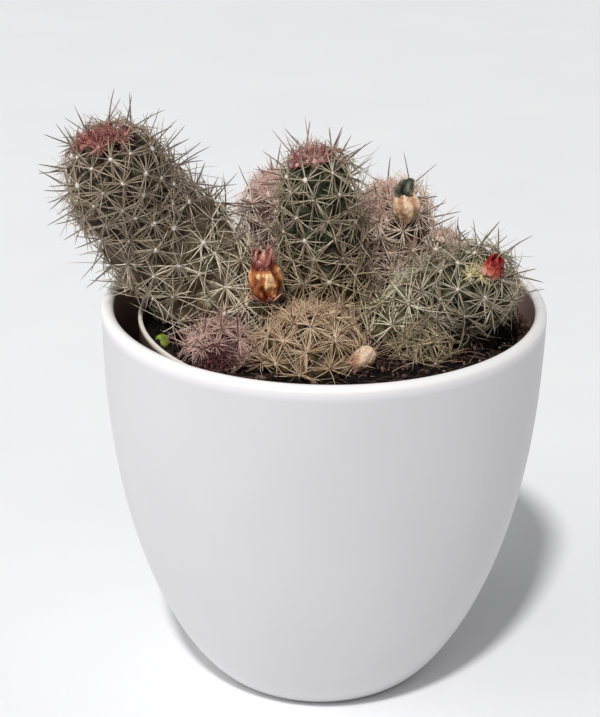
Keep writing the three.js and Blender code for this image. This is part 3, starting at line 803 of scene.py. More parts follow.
@dataclass
class Soil:
    """Potting soil with loose crumbs, fibres and fallen spines on it."""

    pot: NurseryPot
    below_rim: float = 4.4
    heap: float = 2.2
    bank: float = 1.0
    left_bank: float = 2.6
    lump: float = 0.5
    play: float = 0.15  # between the soil and the pot's wall
    bed: float = 0.2  # between the soil and the pot's floor
    rings: int = 84
    sides: int = 230
    crumbs: int = 3600
    fibres: int = 900
    fallen: int = 130
    spilled: int = 1500
    edge: float = 3.0  # how far inside the rim the litter ends
    cover_top: float = 100.6  # just over the cover pot's rim
    cover_reach: float = 57.0  # just past its outside
    cover_inside: float = 50.5  # just within its wall
    heaps: tuple[tuple[float, float, float, float], ...] = (
        (27.0, -16.0, 8.0, 5.0), (36.0, -14.0, 7.0, 6.0), (14.0, -27.0, 5.0, 4.0),
        (-12.0, -27.0, 6.0, 4.0),
    )  # where spines have fallen, and how far they spread
    crumb_size: Span = (0.35, 0.85, 2.2)
    crumb_tint: Span = (0.0, 1.0, 1.25)
    crumb_shape: Span = (0.7, 0.6, 1.0)
    squash: Span = (0.6, 0.6, 1.0)
    fibre_height: float = 0.5
    fallen_height: Span = (0.3, 1.6, 2.0)
    spill_size: Span = (0.3, 0.4, 2.0)
    spill_tint: Span = (0.66, 0.25, 1.0)
    spill_inside: float = 2.6  # how far inside the rim the spilled soil starts
    spill_width: float = 3.0
    spill_spread: float = math.radians(32)
    spill_turn: float = math.radians(-8)  # where it lies, from the right
    seed: int = 11

    def __post_init__(self) -> None:
        """Starts the random numbers."""
        self.chance = np.random.default_rng(self.seed)

    def drawn(self, span: Span, *size: int) -> Array:
        """Random numbers of a span."""
        least, more, seldom = span
        return least + more * self.chance.random(size) ** seldom

    def height(self, x: Array, y: Array) -> Array:
        """Height of the soil in the nursery pot's frame.

        Args:
            x: Where to the right.
            y: Where to the back.

        Returns:
            The height there.
        """
        rim = self.pot.rim_radius
        outward = np.minimum(1, np.hypot(x, y) / rim)
        bank = self.bank * (np.maximum(0, x) / rim) ** 2
        bank = bank + self.left_bank * fade(np.maximum(0, -x) / rim, 0.6, 0.95)
        lumps = np.sin(0.55 * x + 1.3) * np.cos(0.47 * y) + 0.7 * np.sin(0.9 * x - 0.7 * y)
        level = self.pot.height - self.below_rim + x * math.tan(self.pot.lean)
        return level + self.heap * (1 - outward**2) + bank + self.lump * lumps

    def clearance(self, points: Array) -> Array:
        """How far points lie above the soil, or above the rims outside it.

        Args:
            points: The points.

        Returns:
            The distance at each, which is a large one past the cover pot.
        """
        x, y, z = self.pot.unstand(points).T
        outward = np.hypot(points[:, 0], points[:, 1])
        beyond = np.where(outward > self.cover_reach, 5.0, points[:, 2] - self.cover_top)
        on_soil = np.hypot(x, y) < self.pot.rim_radius - 2 * self.pot.wall
        return np.where(on_soil, z - self.height(x, y), beyond)

    def surface(self) -> Form:
        """Makes the closed block of soil with a crumbly top.

        Returns:
            The block.
        """
        pot = self.pot
        edge = pot.rim_radius - pot.taper - pot.wall - self.play
        share = np.linspace(0, 1, self.rings + 1)[1:][::-1]
        flat = polar(edge * share[:, None], around(self.sides), 0.0).reshape(-1, 3)
        crumbly = 0.55 * roughened(flat, 2.6) + 0.35 * roughened(flat, 1.1, 7.0)
        x, y, _ = flat.T
        top = np.stack([x, y, self.height(x, y) + crumbly], axis=-1)
        neck, floor = pot.height - pot.band - pot.wall, pot.wall + self.bed
        lower = [
            (pot.base_radius - pot.corner - pot.wall, floor), (pot.inside(neck) - self.bed, neck)
        ]
        ends = np.array([[0, 0, floor], [0, 0, float(self.height(0.0, 0.0))]])
        points = np.concatenate([turned(np.array(lower), self.sides), top, ends])
        form = Form()
        form.add(pot.stand(points), closed(self.rings + 2, self.sides))
        return form

    def strewn(self, count: int) -> tuple[Array, Array]:
        """Places that are scattered evenly over the soil."""
        radius = (self.pot.rim_radius - self.edge) * np.sqrt(self.chance.random(count))
        return tuple(polar(radius, self.chance.random(count) * 2 * np.pi, 0.0).T[:2])

    def lumps(
        self, form: Form, centre: Array, size: Array, tint: Span, squashed: bool = False
    ) -> None:
        """Adds crumbs.

        Args:
            form: Where they are added.
            centre: The middle of each, in the nursery pot's frame.
            size: The radius of each.
            tint: The span of the U that picks their tone.
            squashed: Whether they differ in their proportions.
        """
        count, corners = len(size), len(PEBBLE)
        shape = PEBBLE[None] * self.drawn(self.crumb_shape, count, corners, 1)
        shape = shape * size[:, None, None]
        if squashed:
            shape = shape * self.drawn(self.squash, count, 1, 3)
        tints = np.repeat(self.drawn(tint, count), corners)
        faces = (PEBBLE_FACES[None] + np.arange(count)[:, None, None] * corners).reshape(-1, 3)
        points = self.pot.stand((shape + centre[:, None]).reshape(-1, 3))
        # V climbs to each crumb's top, where the lighter tip tones paint light on it.
        form.add(points, [faces], np.stack([tints, np.tile(PEBBLE_LIT_SHARE, count)], axis=-1))

    def lying(self, kind: Strand, count: int) -> tuple[Array, Array, Array]:
        """How strands lie on the soil.

        Args:
            kind: What they are.
            count: How many there are.

        Returns:
            Direction, bend and length.
        """
        chance = self.chance
        rising = self.drawn(kind.rising, count, 1)
        aim = unit(np.concatenate([unit(chance.normal(size=(count, 2))), rising], axis=1))
        curl = unit(chance.normal(size=(count, 3))) * [1, 1, 0.15] * kind.curl
        bend = curl - np.outer(kind.sag * rising, UP)
        return aim, bend, self.drawn(kind.length, count)

    def litter(self) -> Form:
        """Scatters the crumbs, the fibres and the fallen spines.

        Returns:
            All of them as one form.
        """
        chance, form, needles = self.chance, Form(), Needles()
        x, y = self.strewn(self.crumbs)
        size = self.drawn(self.crumb_size, self.crumbs)
        centre = np.stack([x, y, self.height(x, y) + 0.25 * size], axis=-1)
        self.lumps(form, centre, size, self.crumb_tint, squashed=True)
        self.spill(form)
        x, y = self.strewn(self.fibres)
        root = self.pot.stand(np.stack([x, y, self.height(x, y) + self.fibre_height], axis=-1))
        aim, bend, length = self.lying(FIBRE, self.fibres)
        thick = self.drawn(FIBRE.thick, self.fibres)
        needles.add(root, aim, length, thick, bend, self.drawn(FIBRE.tint, self.fibres))
        spots = np.array(self.heaps)[chance.integers(len(self.heaps), size=self.fallen)]
        places = spots[:, :2] + spots[:, 2:] * chance.normal(size=(self.fallen, 2))
        x, y = places[np.hypot(*places.T) < self.pot.rim_radius - self.edge].T
        count = len(x)
        above = self.drawn(self.fallen_height, count)
        root = self.pot.stand(np.stack([x, y, self.height(x, y) + above], axis=-1))
        aim, bend, length = self.lying(FALLEN_SPINE, count)
        tips = root + (aim + bend) * length[:, None]
        clear = np.hypot(tips[:, 0], tips[:, 1]) < self.cover_inside
        tint = self.drawn(FALLEN_SPINE.tint, count)
        thick = self.drawn(FALLEN_SPINE.thick, count)
        needles.add(*(part[clear] for part in (root, aim, length, thick, bend, tint)))
        needles.into(form)
        return form

    def spill(self, form: Form) -> None:
        """Heaps crumbs over the nursery pot's rim on the right, where the soil has spilled.

        Args:
            form: Where they are added.
        """
        chance, rim = self.chance, self.pot.rim_radius
        turn = chance.normal(size=self.spilled) * self.spill_spread + self.spill_turn
        radius = rim - self.spill_inside + self.spill_width * chance.random(self.spilled)
        over = np.clip(1 - np.abs(radius - rim + 0.6) / 2.2, 0, 1)
        height = self.pot.height - 0.6 + 0.9 * over * chance.random(self.spilled)
        size = self.drawn(self.spill_size, self.spilled)
        self.lumps(form, polar(radius, turn, height), size, self.spill_tint)

    def build(self) -> None:
        """Makes the soil and what lies on it."""
        settle(self.surface().piece("potting_soil_block", [SOIL]), "potting_soil")
        crumbs = self.litter().piece("potting_soil_crumbs", [GRAINS], smooth=False)
        settle(crumbs)


# ---- Stems -------------------------------------------------------------------------------------

# Bands of U: grown spines from young to old, central spines, and new spines in the crown.
GROWN = (0.0, 0.54)
CENTRAL = (0.6, 0.74)
FRESH = (0.8, 1.0)


@dataclass(frozen=True)
class Coat:
    """The colours that one stem's spines, wool and skin have."""

    name: str
    grown: tuple[str, str, str, str]  # light and dim while young, then light and dim when old
    central: tuple[str, str]
    fresh: tuple[str, str]
    ridge: str
    # The furrow colour is painted shade between the tubercles.
    furrow: str
    blotch: str
    cork: str
    wool: str = "#d8cfc2"

    def spines(self) -> Assorted:
        """Grown woody spines: hard and half glossy like horn, so that each catches the light.

        Returns:
            The finish.
        """
        light, dim, pale, dull = self.grown
        root, tip = self.central
        # Light and dim stops take turns, so that spines side by side differ in tone.
        places = (0.0, 0.08, 0.16, 0.23, 0.3, 0.38, 0.46, GROWN[1], *CENTRAL, *FRESH)
        roots = (light, dim, light, dim, pale, dull, pale, dull, root, root, *self.fresh)
        tips = (dim, light, dim, dim, dull, pale, dull, pale, tip, tip, *self.fresh)
        return Assorted(
            f"woody spines, {self.name}", roots, places, 0.42, 1.5, tips=tips, translucent=0.1
        )

    def tufts(self) -> Assorted:
        """Wool at the spines' roots: short matted hair that scatters the light.

        Returns:
            The finish.
        """
        roots = (self.wool, self.grown[1], *self.fresh)
        tips = ("#f2ece2", self.wool, self.fresh[0], self.fresh[0])
        return Assorted(
            f"areole wool, {self.name}", roots, (0.0, 0.7, *FRESH), 1.0, 1.4, tips=tips,
            turn=(0.2, 0.9), translucent=0.15,
        )

    def skin(self) -> Skin:
        """The stem's own waxy skin."""
        colours = {key: getattr(self, key) for key in ("ridge", "furrow", "blotch", "cork")}
        return Skin(f"cactus skin, {self.name}", roughness=0.62, ior=1.42, **colours)


@dataclass(frozen=True)
class Habit:
    """How one kind of spine grows. Sizes are shares of the stem's own spine."""

    steep: float  # its angle from the skin
    steeper: float  # how much more that is in the crown
    unsteady: float  # how much it varies
    scatter: float  # how unevenly they stand round the areole
    size: float
    longer: float  # how much longer it is on an old areole
    stunted: float  # how much shorter it is in the crown
    curl: float
    droop: float
    thick: float
    thicker: float  # how much thicker it is on an old areole
    redden: float  # how likely it is to be red in the crown


class Spine(Enum):
    """The kinds of spine on an areole. The stem itself says how flat its radials lie."""

    RADIAL = Habit(0.0, 0.75, 0.4, 1, 0.72, 0.0, 0.68, 1, 0.2, 1.0, 0.0, 1)
    INNER = Habit(0.55, 0.6, 0.7, 1, 0.78, 0.0, 0.62, 1, 0.12, 1.0, 0.0, 1)
    CENTRAL = Habit(1.1, 0.3, 0.7, 1, 1.05, 0.0, 0.3, 0.6, 0.04, 1.35, 0.0, 0.45)
    WISP = Habit(0.3, 0.6, 0.9, 3, 0.9, 0.4, 0.55, 2, 0.14, 0.62, 0.25, 1)


HABITS = {
    trait.name: np.array([getattr(spine.value, trait.name) for spine in Spine], float)
    for trait in fields(Habit)
}
ANY_TURN = 6.28  # a full turn, near enough
GOLDEN_TURN = 2.4  # between neighbours that are numbered from the heart outwards


@dataclass(frozen=True)
class Areole:
    """One cushion on a stem, from which its spines and its wool grow."""

    at: Array
    out: Array
    across: Array
    up: Array
    youth: float  # 0 when it is grown, 1 in the heart of the crown
    age: float  # 0 in the crown, 1 at the root

    def fanned(self, turn: Array, steep: Array) -> tuple[Array, Array]:
        """Directions round it, along the skin and raised from it by angles."""
        flat = self.across * np.cos(turn)[:, None] + self.up * np.sin(turn)[:, None]
        return flat, flat * np.cos(steep)[:, None] + self.out * np.sin(steep)[:, None]


@dataclass
class Stem:
    """One stem: its skin of spiralled tubercles, and the spines and wool on them.

    The line runs from the root to the centre of the domed crown, and radii reach the tips of
    the tubercles there.
    """

    name: str
    slot: str
    line: list[list[float]]
    radii: list[float]
    around: int  # areoles in a row round the stem
    spine: float  # length of a spine
    coat: Coat
    seed: int
    heart: Triple = UP  # the direction of the crown's heart
    spread: float = 28.0  # half the angle that the crown's heart fills, in degrees
    narrow: float = 0.62  # the heart's width as a share of that
    radials: int = 13
    wisps: int = 7
    stout: float = 0.14  # radius of a spine
    bristle: float = 1.0  # how long the central spines are
    disorder: float = 0.2
    lay: float = 0.13  # angle of the radial spines from the skin
    woolly: float = 1.0
    twist: float = 0.11
    depth: float = 2.8  # of the furrows between the tubercles
    grain: float = 0.6  # width of one face of the skin
    start: float = 5.0
    fade_out: float = 0.16  # how much younger the crown is on its left than on its right
    crowding: float = 3.6  # area of one areole in the heart
    packed: bool = True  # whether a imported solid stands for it
    bare: tuple[float, float, float, float] | None = None  # centre and radius of a bald patch
    first_row: float = 4.0  # height of the lowest areoles over the root
    last_row: float = math.radians(84)  # how far over the crown's dome the rows go
    uneven: float = 0.09  # how far an areole stands out of its place in the row
    row_step: float = 0.87  # between rows, as a share of the areoles' spacing in a row
    pressing: float = 0.9  # a neighbour that comes nearer flattens the skin
    flattest: float = 0.25  # the least share of the radius that is left
    wrinkle: float = 0.14
    wrinkle_width: float = 1.6
    blend: tuple[float, float] = (14.0, 12.0)  # degrees past and inside the heart's edge
    fewest: int = 6  # radial spines
    second_inner: float = 0.5  # how likely a grown areole has two inner spines
    second_central: float = 0.4  # how likely it has two central ones
    young: float = 0.08  # the youth from which an areole has the spines of a young one
    bushy: tuple[float, float] = (0.3, 1.3)  # share of the wisps, and what age adds to it
    slants: tuple[float, float] = (-0.15, 1.5)  # a spine's least and greatest angle
    star: float = 0.35  # how far from the areole's centre its spines stand
    outer_star: float = 0.2  # how much further out its radials stand
    sunk: float = 0.15  # how deep the spines' roots are in the skin
    cushion: float = 0.6  # height of a cushion of wool as a share of its width
    fuzz: tuple[float, float] = (8.0, 26.0)  # hairs on an areole, and what youth adds
    hair: tuple[float, float] = (0.06, 0.03)  # radius of a hair, and what youth adds
    over_soil: float = 0.3  # the least height of an areole over the soil
    clear: float = 0.15  # how near a spine may come to the soil and the rims
    mingling: float = 1.2  # how deep a spine may reach past another stem's outline
    others: list["Stem"] = field(init=False, default_factory=list)  # what it may press against
    soil: Soil = field(init=False)

    def __post_init__(self) -> None:
        """Samples the line as a smooth curve through its points."""
        self.chance = np.random.default_rng(self.seed)
        self.spines, self.wool = Needles(), Form()
        self.hairs = Needles(sides=3, stations=(0.0, 0.6), waists=(1.0, 0.6))
        knots, share = np.array(self.line, float), np.linspace(0, 1, 97)
        self.spots = np.array([smooth_line(knots, s) for s in share])
        marks = np.arange(len(self.radii))
        self.widths = np.interp(share * (len(self.radii) - 1), marks, self.radii)
        steps = np.linalg.norm(np.diff(self.spots, axis=0), axis=1)
        self.marks = np.concatenate(([0], np.cumsum(steps)))
        self.length = float(self.marks[-1])
        heads = unit(np.gradient(self.spots, self.marks, axis=0))
        over = fade(self.marks, self.length - 1.3 * self.radii[-1], self.length)[:, None]
        self.heads = unit(heads * (1 - over) + unit(np.array([self.heart])) * over)

    def at(self, distance: Array) -> tuple[Array, Array, Array]:
        """Finds the axis at distances up the stem.

        Args:
            distance: The distances.

        Returns:
            The axis points, the directions and the radii there.
        """
        point, head = (
            np.stack([np.interp(distance, self.marks, track[:, k]) for k in range(3)], axis=-1)
            for track in (self.spots, self.heads)
        )
        return point, unit(head), np.interp(distance, self.marks, self.widths)

    def outside(self, points: Array) -> Array:
        """How far points lie outside the plain outline.

        Args:
            points: The points.

        Returns:
            The distances, which are negative inside.
        """
        least = np.full(len(points), np.inf)
        for i in range(0, len(self.spots) - 1, 3):
            j = min(i + 3, len(self.spots) - 1)
            span = self.spots[j] - self.spots[i]
            offset = points - self.spots[i]
            share = np.clip(offset @ span / (span @ span), 0, 1)
            gap = np.linalg.norm(offset - share[:, None] * span, axis=1)
            width = self.widths[i] + share * (self.widths[j] - self.widths[i])
            least = np.minimum(least, gap - width)
        return least

    def directions(self, distance: Array, tilt: Array, turn: Array) -> tuple[Array, ...]:
        """Finds the centre, radius and directions of places on the outline.

        Args:
            distance: Distance up the axis.
            tilt: Angle over the crown's dome.
            turn: Angle round the axis.

        Returns:
            Centre, radius, and the outward, sideways and upward directions.
        """
        point, head, radius = self.at(distance)
        side = unit(np.array([1.0, 0, 0]) - head * head[:, :1])
        back = np.cross(head, side)
        level = side * np.cos(turn)[:, None] + back * np.sin(turn)[:, None]
        out = level * np.cos(tilt)[:, None] + head * np.sin(tilt)[:, None]
        across = np.cross(head, level)
        return point, radius, out, across, np.cross(out, across)

    def free(self, point: Array, out: Array, radius: Array) -> Array:
        """Finds the radius that the neighbours leave, since stems that touch are flattened.

        Args:
            point: Centres.
            out: Outward directions.
            radius: Radii of the plain outline.

        Returns:
            The radii, smaller where another stem presses.
        """

        def crowded(which: Array, reach: Array) -> Array:
            """Tells where a neighbour is nearer than the stem's own outline allows.

            Args:
                which: The numbers of the places.
                reach: A radius for each of them.

            Returns:
                Whether it is, for each.
            """
            place = point[which] + out[which] * reach[:, None]
            near = np.min([other.outside(place) for other in self.others], axis=0)
            return near - (reach - radius[which]) < self.pressing

        reach = radius.copy()
        which = np.flatnonzero(crowded(np.arange(len(radius)), radius))
        low, high = radius[which] * self.flattest, radius[which].copy()
        for _ in range(9):
            middle = (low + high) / 2
            tight = crowded(which, middle)
            high = np.where(tight, middle, high)
            low = np.where(tight, low, middle)
        reach[which] = low
        return reach

    def areoles(self) -> dict[str, Array]:
        """Places the areoles in rows that pack closely and wind slowly round the stem.

        Returns:
            Their places, their directions, and where a neighbour presses.
        """
        rows: list[Triple] = []
        distance, tilt, j = self.start + self.first_row, 0.0, 0
        while tilt < self.last_row:
            radius = float(np.interp(distance, self.marks, self.widths))
            count = max(3, round(self.around * math.cos(tilt) ** 0.6))
            for i in range(count):
                aside, ahead = self.chance.normal(size=2) * self.uneven
                turn = (i + 0.5 * (j % 2) + aside) / count * 2 * math.pi + self.twist * j
                raised = distance + ahead * radius * 0.8 * (tilt == 0)
                rows.append((min(raised, self.length), tilt + ahead * (tilt > 0), turn))
            step = self.row_step * TAU * radius * max(0.25, math.cos(tilt)) / count
            over = max(0.0, distance + step - self.length)
            distance = min(self.length, distance + step)
            tilt += over / radius
            j += 1
        places = np.array(rows)
        point, radius, out, across, up = self.directions(*places.T)
        reach = self.free(point, out, radius)
        return {
            "at": point + out * reach[:, None], "out": out, "across": across, "up": up,
            "distance": places[:, 0], "tilt": places[:, 1], "pressed": reach < radius - 0.3,
            "plain": point + out * radius[:, None],
        }

    def skin(self, areoles: dict[str, Array]) -> Form:
        """Makes the skin, raised to a tubercle under each areole.

        Args:
            areoles: The areoles' places.

        Returns:
            The closed skin.
        """
        columns, radius_end = int(TAU * max(self.radii) / self.grain), self.radii[-1]
        along = np.arange(self.start, self.length, self.grain)
        over = np.arange(0, math.radians(88), self.grain / radius_end)
        rows = len(along) + len(over)
        distance = np.repeat(np.concatenate([along, np.full(len(over), self.length)]), columns)
        tilt = np.repeat(np.concatenate([np.zeros(len(along)), over]), columns)
        point, radius, out, _, _ = self.directions(distance, tilt, np.tile(around(columns), rows))
        reach = self.free(point, out, radius)
        tree = kdtree.KDTree(len(areoles["plain"]))
        for i, place in enumerate(areoles["plain"]):
            tree.insert(Vector(place), i)
        tree.balance()
        rise = np.empty(len(point))
        for i, place in enumerate(point + out * radius[:, None]):
            (_, _, near), (_, _, far) = tree.find_n(Vector(place), 2)
            rise[i] = (far - near) / (far + near + 1e-6)
        # The mound also goes out as the rise, which darkens the skin between tubercles with painted
        # shade.
        mound = np.clip(rise, 0, 1) ** 0.75
        shape = point + out * reach[:, None]
        wrinkle = self.wrinkle * roughened(shape, self.wrinkle_width, self.seed)
        sunk = (1 - mound) * self.depth * fade(reach / radius, 0.3, 0.9)
        shape = shape - out * (sunk - wrinkle)[:, None]
        end, head, width = self.at(np.array([self.start, self.length]))
        tip = end[1] + head[1] * (width[1] - 0.5 * self.depth)
        age = 1 - (distance + tilt * radius) / (self.length + radius_end * 1.5)
        if self.bare:
            away = np.linalg.norm(shape - np.array(self.bare[:3]), axis=1)
            age = age + 2.0 * fade(-away, -1.15 * self.bare[3], -0.5 * self.bare[3])
        form = Form()
        form.add(
            np.concatenate([shape, [end[0] - head[0], tip]]),
            closed(rows, columns),
            rise=np.concatenate([mound, [0.0, 0.5]]),
            age=np.concatenate([age, [1.0, 0.0]]),
        )
        return form

    def dress(self, areoles: dict[str, Array]) -> None:
        """Grows the spines and the wool on the stem, and then in the heart of its crown.

        Args:
            areoles: The areoles' places.
        """
        heart = np.array(self.heart) / np.linalg.norm(self.heart)
        ahead = areoles["out"] @ heart
        apart = (areoles["out"] - ahead[:, None] * heart) * [self.narrow, 1.0, 1.0]
        slant = np.degrees(np.arcsin(np.clip(np.linalg.norm(apart, axis=1), 0, 1)))
        aside = np.where(ahead > 0, slant, 90.0)
        past, within = self.blend
        youths = fade(-aside, -self.spread - past, -self.spread + within)
        youths = youths * (areoles["tilt"] > 0.05)
        ages = 1 - areoles["distance"] / self.length * 0.75 - areoles["tilt"] / math.pi * 0.5
        for i in np.flatnonzero(~areoles["pressed"] & (aside > self.spread)):
            at, *axes = (areoles[key][i] for key in ("at", "out", "across", "up"))
            bald = self.bare and math.dist(at, self.bare[:3]) < self.bare[3]
            if not bald and self.soil.clearance(at[None])[0] >= self.over_soil:
                areole = Areole(at, *axes, youth=float(youths[i]), age=float(ages[i]))
                self.grow(areole)
                self.fluff(areole)
        point, _, width = self.at(np.array([self.length]))
        high, wide = math.radians(self.spread), float(width[0])
        count = round(high * high / self.narrow * wide**2 * math.pi / self.crowding)
        side = unit(np.array([1.0, 0, 0]) - heart * heart[0])
        back = np.cross(heart, side)
        for k in range(count):
            share = math.sqrt((k + 0.5) / count)
            turn = GOLDEN_TURN * k + 0.3 * self.chance.normal()
            lean = math.tan(high) * share
            across = side * lean / self.narrow * math.cos(turn)
            out = unit(heart + across + back * lean * math.sin(turn))
            across = unit(np.cross(heart + 0.01 * side, out))
            at = point[0] + out * (wide - 0.25 * self.depth)
            youth = 0.66 + 0.34 * (1 - share) - self.fade_out * share * (0.4 + math.cos(turn))
            areole = Areole(at, out, across, np.cross(out, across), youth, age=0.0)
            self.grow(areole)
            self.fluff(areole)

    def grow(self, areole: Areole) -> None:
        """Adds one areole's spines: a flat star, a steeper inner ring and stout centrals.

        Args:
            areole: The areole.
        """
        chance, out, youth, age = self.chance, areole.out, areole.youth, areole.age
        many = self.radials * (1 - 0.3 * youth) * (0.92 + 0.35 * age)
        radials = max(self.fewest, round(many + chance.normal() * 1.1))
        inner = 1 + int(chance.random() < self.second_inner)
        centrals = 1 + int(chance.random() < self.second_central)
        if youth > self.young:
            inner = 3
            centrals = 2 if youth < 0.5 else int(chance.random() < self.second_central)
        least, more = self.bushy
        wisps = round(self.wisps * (least + more * age if youth < 0.1 else least))
        counts = (radials, inner, centrals, wisps)
        count = sum(counts)
        kind = np.repeat(range(len(Spine)), counts)
        radial, _, central, _ = (kind == number for number in range(len(Spine)))
        habit = {trait: row[kind] for trait, row in HABITS.items()}
        loose = self.disorder * (1 + 2.0 * age)
        turn = np.concatenate([np.arange(n) / n for n in counts]) * TAU
        turn = turn + chance.normal(size=count) * loose * habit["scatter"]
        turn = turn + chance.random() * ANY_TURN
        steep = habit["steep"] + self.lay * radial
        steep = steep + chance.normal(size=count) * loose * habit["unsteady"]
        steep = np.clip(steep + youth * habit["steeper"], *self.slants)
        size = habit["size"] * np.where(central, self.bristle, 1.0) + habit["longer"] * age
        size = size * (0.7 + 0.4 * chance.random(count) + 0.3 * age)
        short = 1 - youth * habit["stunted"] * (~central | (youth > 0.55))
        flat, aim = areole.fanned(turn, steep)
        swing = (0.05 + 0.13 * age) * habit["curl"]
        curl = chance.normal(size=(count, 3)) * swing[:, None]
        bend = flat * 0.03 - np.outer(habit["droop"] * (1 - youth), out) + curl
        thick = self.stout * (habit["thick"] + habit["thicker"] * age)
        thick = thick * (0.85 + 0.3 * chance.random(count)) * (1 + 0.3 * age)
        fresh = chance.random(count) < fade(youth, 0.2, 0.7) * habit["redden"]
        pick, lot = chance.random(count), chance.random()
        tint = np.clip(0.8 * age + 0.3 * (pick - 0.4), 0, 1) * GROWN[1]
        tint = np.where(central, CENTRAL[0] + pick * (CENTRAL[1] - CENTRAL[0]), tint)
        redness = np.clip(0.6 * pick + 0.5 * lot + 0.7 * youth - 0.45, 0, 1)
        tint = np.where(fresh, FRESH[0] + redness * (FRESH[1] - FRESH[0]), tint)
        away = self.star + self.outer_star * radial
        root = areole.at + flat * away[:, None] - out * self.sunk
        self.spines.add(root, unit(aim), self.spine * size * short, thick, bend, tint)

    def fluff(self, areole: Areole) -> None:
        """Adds one areole's cushion of wool and its loose hairs.

        Args:
            areole: The areole.
        """
        chance, out, youth, age = self.chance, areole.out, areole.youth, areole.age
        wide = (0.4 + 0.4 * chance.random()) * (1 + 0.5 * youth)
        wide = wide * (0.5 + 0.5 * min(1.0, self.woolly))
        lump = PEBBLE * (0.85 + 0.3 * chance.random((len(PEBBLE), 1)))
        shape = areole.across * lump[:, :1] * wide + areole.up * lump[:, 1:2] * wide
        shape = shape + out * lump[:, 2:] * wide * self.cushion
        tint = np.clip(0.75 * chance.random() ** 0.8 + 0.35 * age, 0, 0.7)
        if chance.random() < fade(youth, 0.1, 0.5):
            redness = np.clip(1.5 * youth - 0.9 * chance.random(), 0, 1)
            tint = FRESH[0] + redness * (FRESH[1] - FRESH[0])
        # V climbs to the cushion's outer side, where the lighter tip tones paint light on it.
        chart = np.stack([np.full(len(PEBBLE), tint), PEBBLE_LIT_SHARE], axis=-1)
        self.wool.add(areole.at + shape, [PEBBLE_FACES], chart)
        (few, many), (thin, thicker) = self.fuzz, self.hair
        count = int(few + many * youth * self.woolly)
        turn = chance.random(count) * 2 * math.pi
        steep = 0.3 + chance.random(count) * 1.0
        flat, aim = areole.fanned(turn, steep)
        root = areole.at + flat * (self.star + youth) * wide
        length = (0.6 + 0.6 * chance.random(count)) * (1 + 0.45 * youth * self.woolly)
        bend = chance.normal(size=(count, 3)) * 0.3
        tints = np.full(count, tint)
        if tint >= FRESH[0]:
            tints = np.clip(tint + 0.05 * chance.normal(size=count), *FRESH)
        self.hairs.add(root, aim, length, np.full(count, thin + thicker * youth), bend, tints)

    def prune(self) -> None:
        """Leaves out the spines that would run into the soil, a rim or another stem."""
        batch = self.spines.gathered()
        root, aim, length, _, bend, _ = batch
        keep = np.ones(len(root), bool)
        for share in (0.55, 1.0):
            place = root + (aim + bend * share) * (length * share)[:, None]
            keep &= self.soil.clearance(place) > self.clear
            for other in self.others:
                keep &= other.outside(place) > -self.mingling
        self.spines.batches = [tuple(part[keep] for part in batch)]

    def build(self, others: list["Stem"], soil: Soil) -> None:
        """Makes the stem's three pieces.

        Args:
            others: The stems that it may press against.
            soil: The soil that it stands in.
        """
        self.others, self.soil = others, soil
        areoles = self.areoles()
        skin = self.skin(areoles).piece(f"{self.name}_skin", [self.coat.skin()])
        settle(skin, self.name if self.packed else None)
        self.dress(areoles)
        self.prune()
        grown = Form()
        self.spines.into(grown)
        self.hairs.into(self.wool)
        settle(grown.piece(f"{self.name}_spines", [self.coat.spines()]))
        settle(self.wool.piece(f"{self.name}_wool", [self.coat.tufts()]))


def smooth_line(knots: Array, share: float) -> Array:
    """Finds a point on the smooth curve through knots, eased by the root of their spacing.

    Args:
        knots: The points that the curve passes through.
        share: How far along, from 0 to 1.

    Returns:
        The point.
    """
    place = share * (len(knots) - 1)
    i = min(int(place), len(knots) - 2)
    t = place - i
    before = knots[i - 1] if i > 0 else 2 * knots[0] - knots[1]
    beyond = knots[i + 2] if i + 2 < len(knots) else 2 * knots[-1] - knots[-2]
    here, there = knots[i], knots[i + 1]
    pairs = ((before, here), (here, there), (there, beyond))
    a, b, c = (np.linalg.norm(q - p) ** 0.5 for p, q in pairs)
    start = ((here - before) / a - (there - before) / (a + b) + (there - here) / b) * b
    end = ((there - here) / b - (beyond - here) / (b + c) + (beyond - there) / c) * b
    bow, lag = -3 * here + 3 * there - 2 * start - end, 2 * here - 2 * there + start + end
    return here + start * t + bow * t**2 + lag * t**3


# ---- Flower, fruit, bud and sprout ---------------------------------------------------------------

# A ripe berry that shrank on the plant: its juice has set like amber, so it shines softly; its
# palest tone is a painted highlight on the front lobes.
BERRY = Dried("shrivelled berry", ("#5e1c0e", "#cc8048", "#ffd8a4"), roughness=0.5, gloss=0.22)
# Petals withered by the sun: crumpled, rosy brown and dull, with creases 0.7 mm apart.
PETALS = Dried(
    "dried petals", ("#5e1812", "#c2786c", "#e4ad9c"), roughness=0.7, gloss=0.5,
    grain=(0.7, 4.0, 1.5),
)
# A fruit's skin dried to paper: pale, matt and wrinkled about every millimetre.
HUSK = Dried("papery fruit husk", ("#c4906e", "#e4b896", "#fbdcba"), roughness=0.75, gloss=0.5)
# What is left of its flower: grey, brittle and finely crinkled, with hardly any shine.
REMAINS = Dried(
    "dried flower remains", ("#23251e", "#5f6054", "#827f6c"), roughness=0.8, gloss=0.6,
    grain=(0.5, 4.0, 1.5),
)
# A young offset that dried while its skin was smooth: peach, half matt, hardly creased.
OFFSET = Dried(
    "dried young offset", ("#8c4c4c", "#d8a68a", "#f7d8ba"), roughness=0.7, gloss=0.5,
    grain=(0.4, 4.0, 1.5),
)
# Scales that are still fresh and waxy: red with paler edges, lighter still on the bud's front-left
# side as a painted highlight, and the glossiest of all.
SCALES = Dried(
    "fresh bud scales", ("#8f0c14", "#d9705c", "#f0b09a"), roughness=0.45, gloss=0.3,
    grain=(0.9, 4.0, 1.5),
)
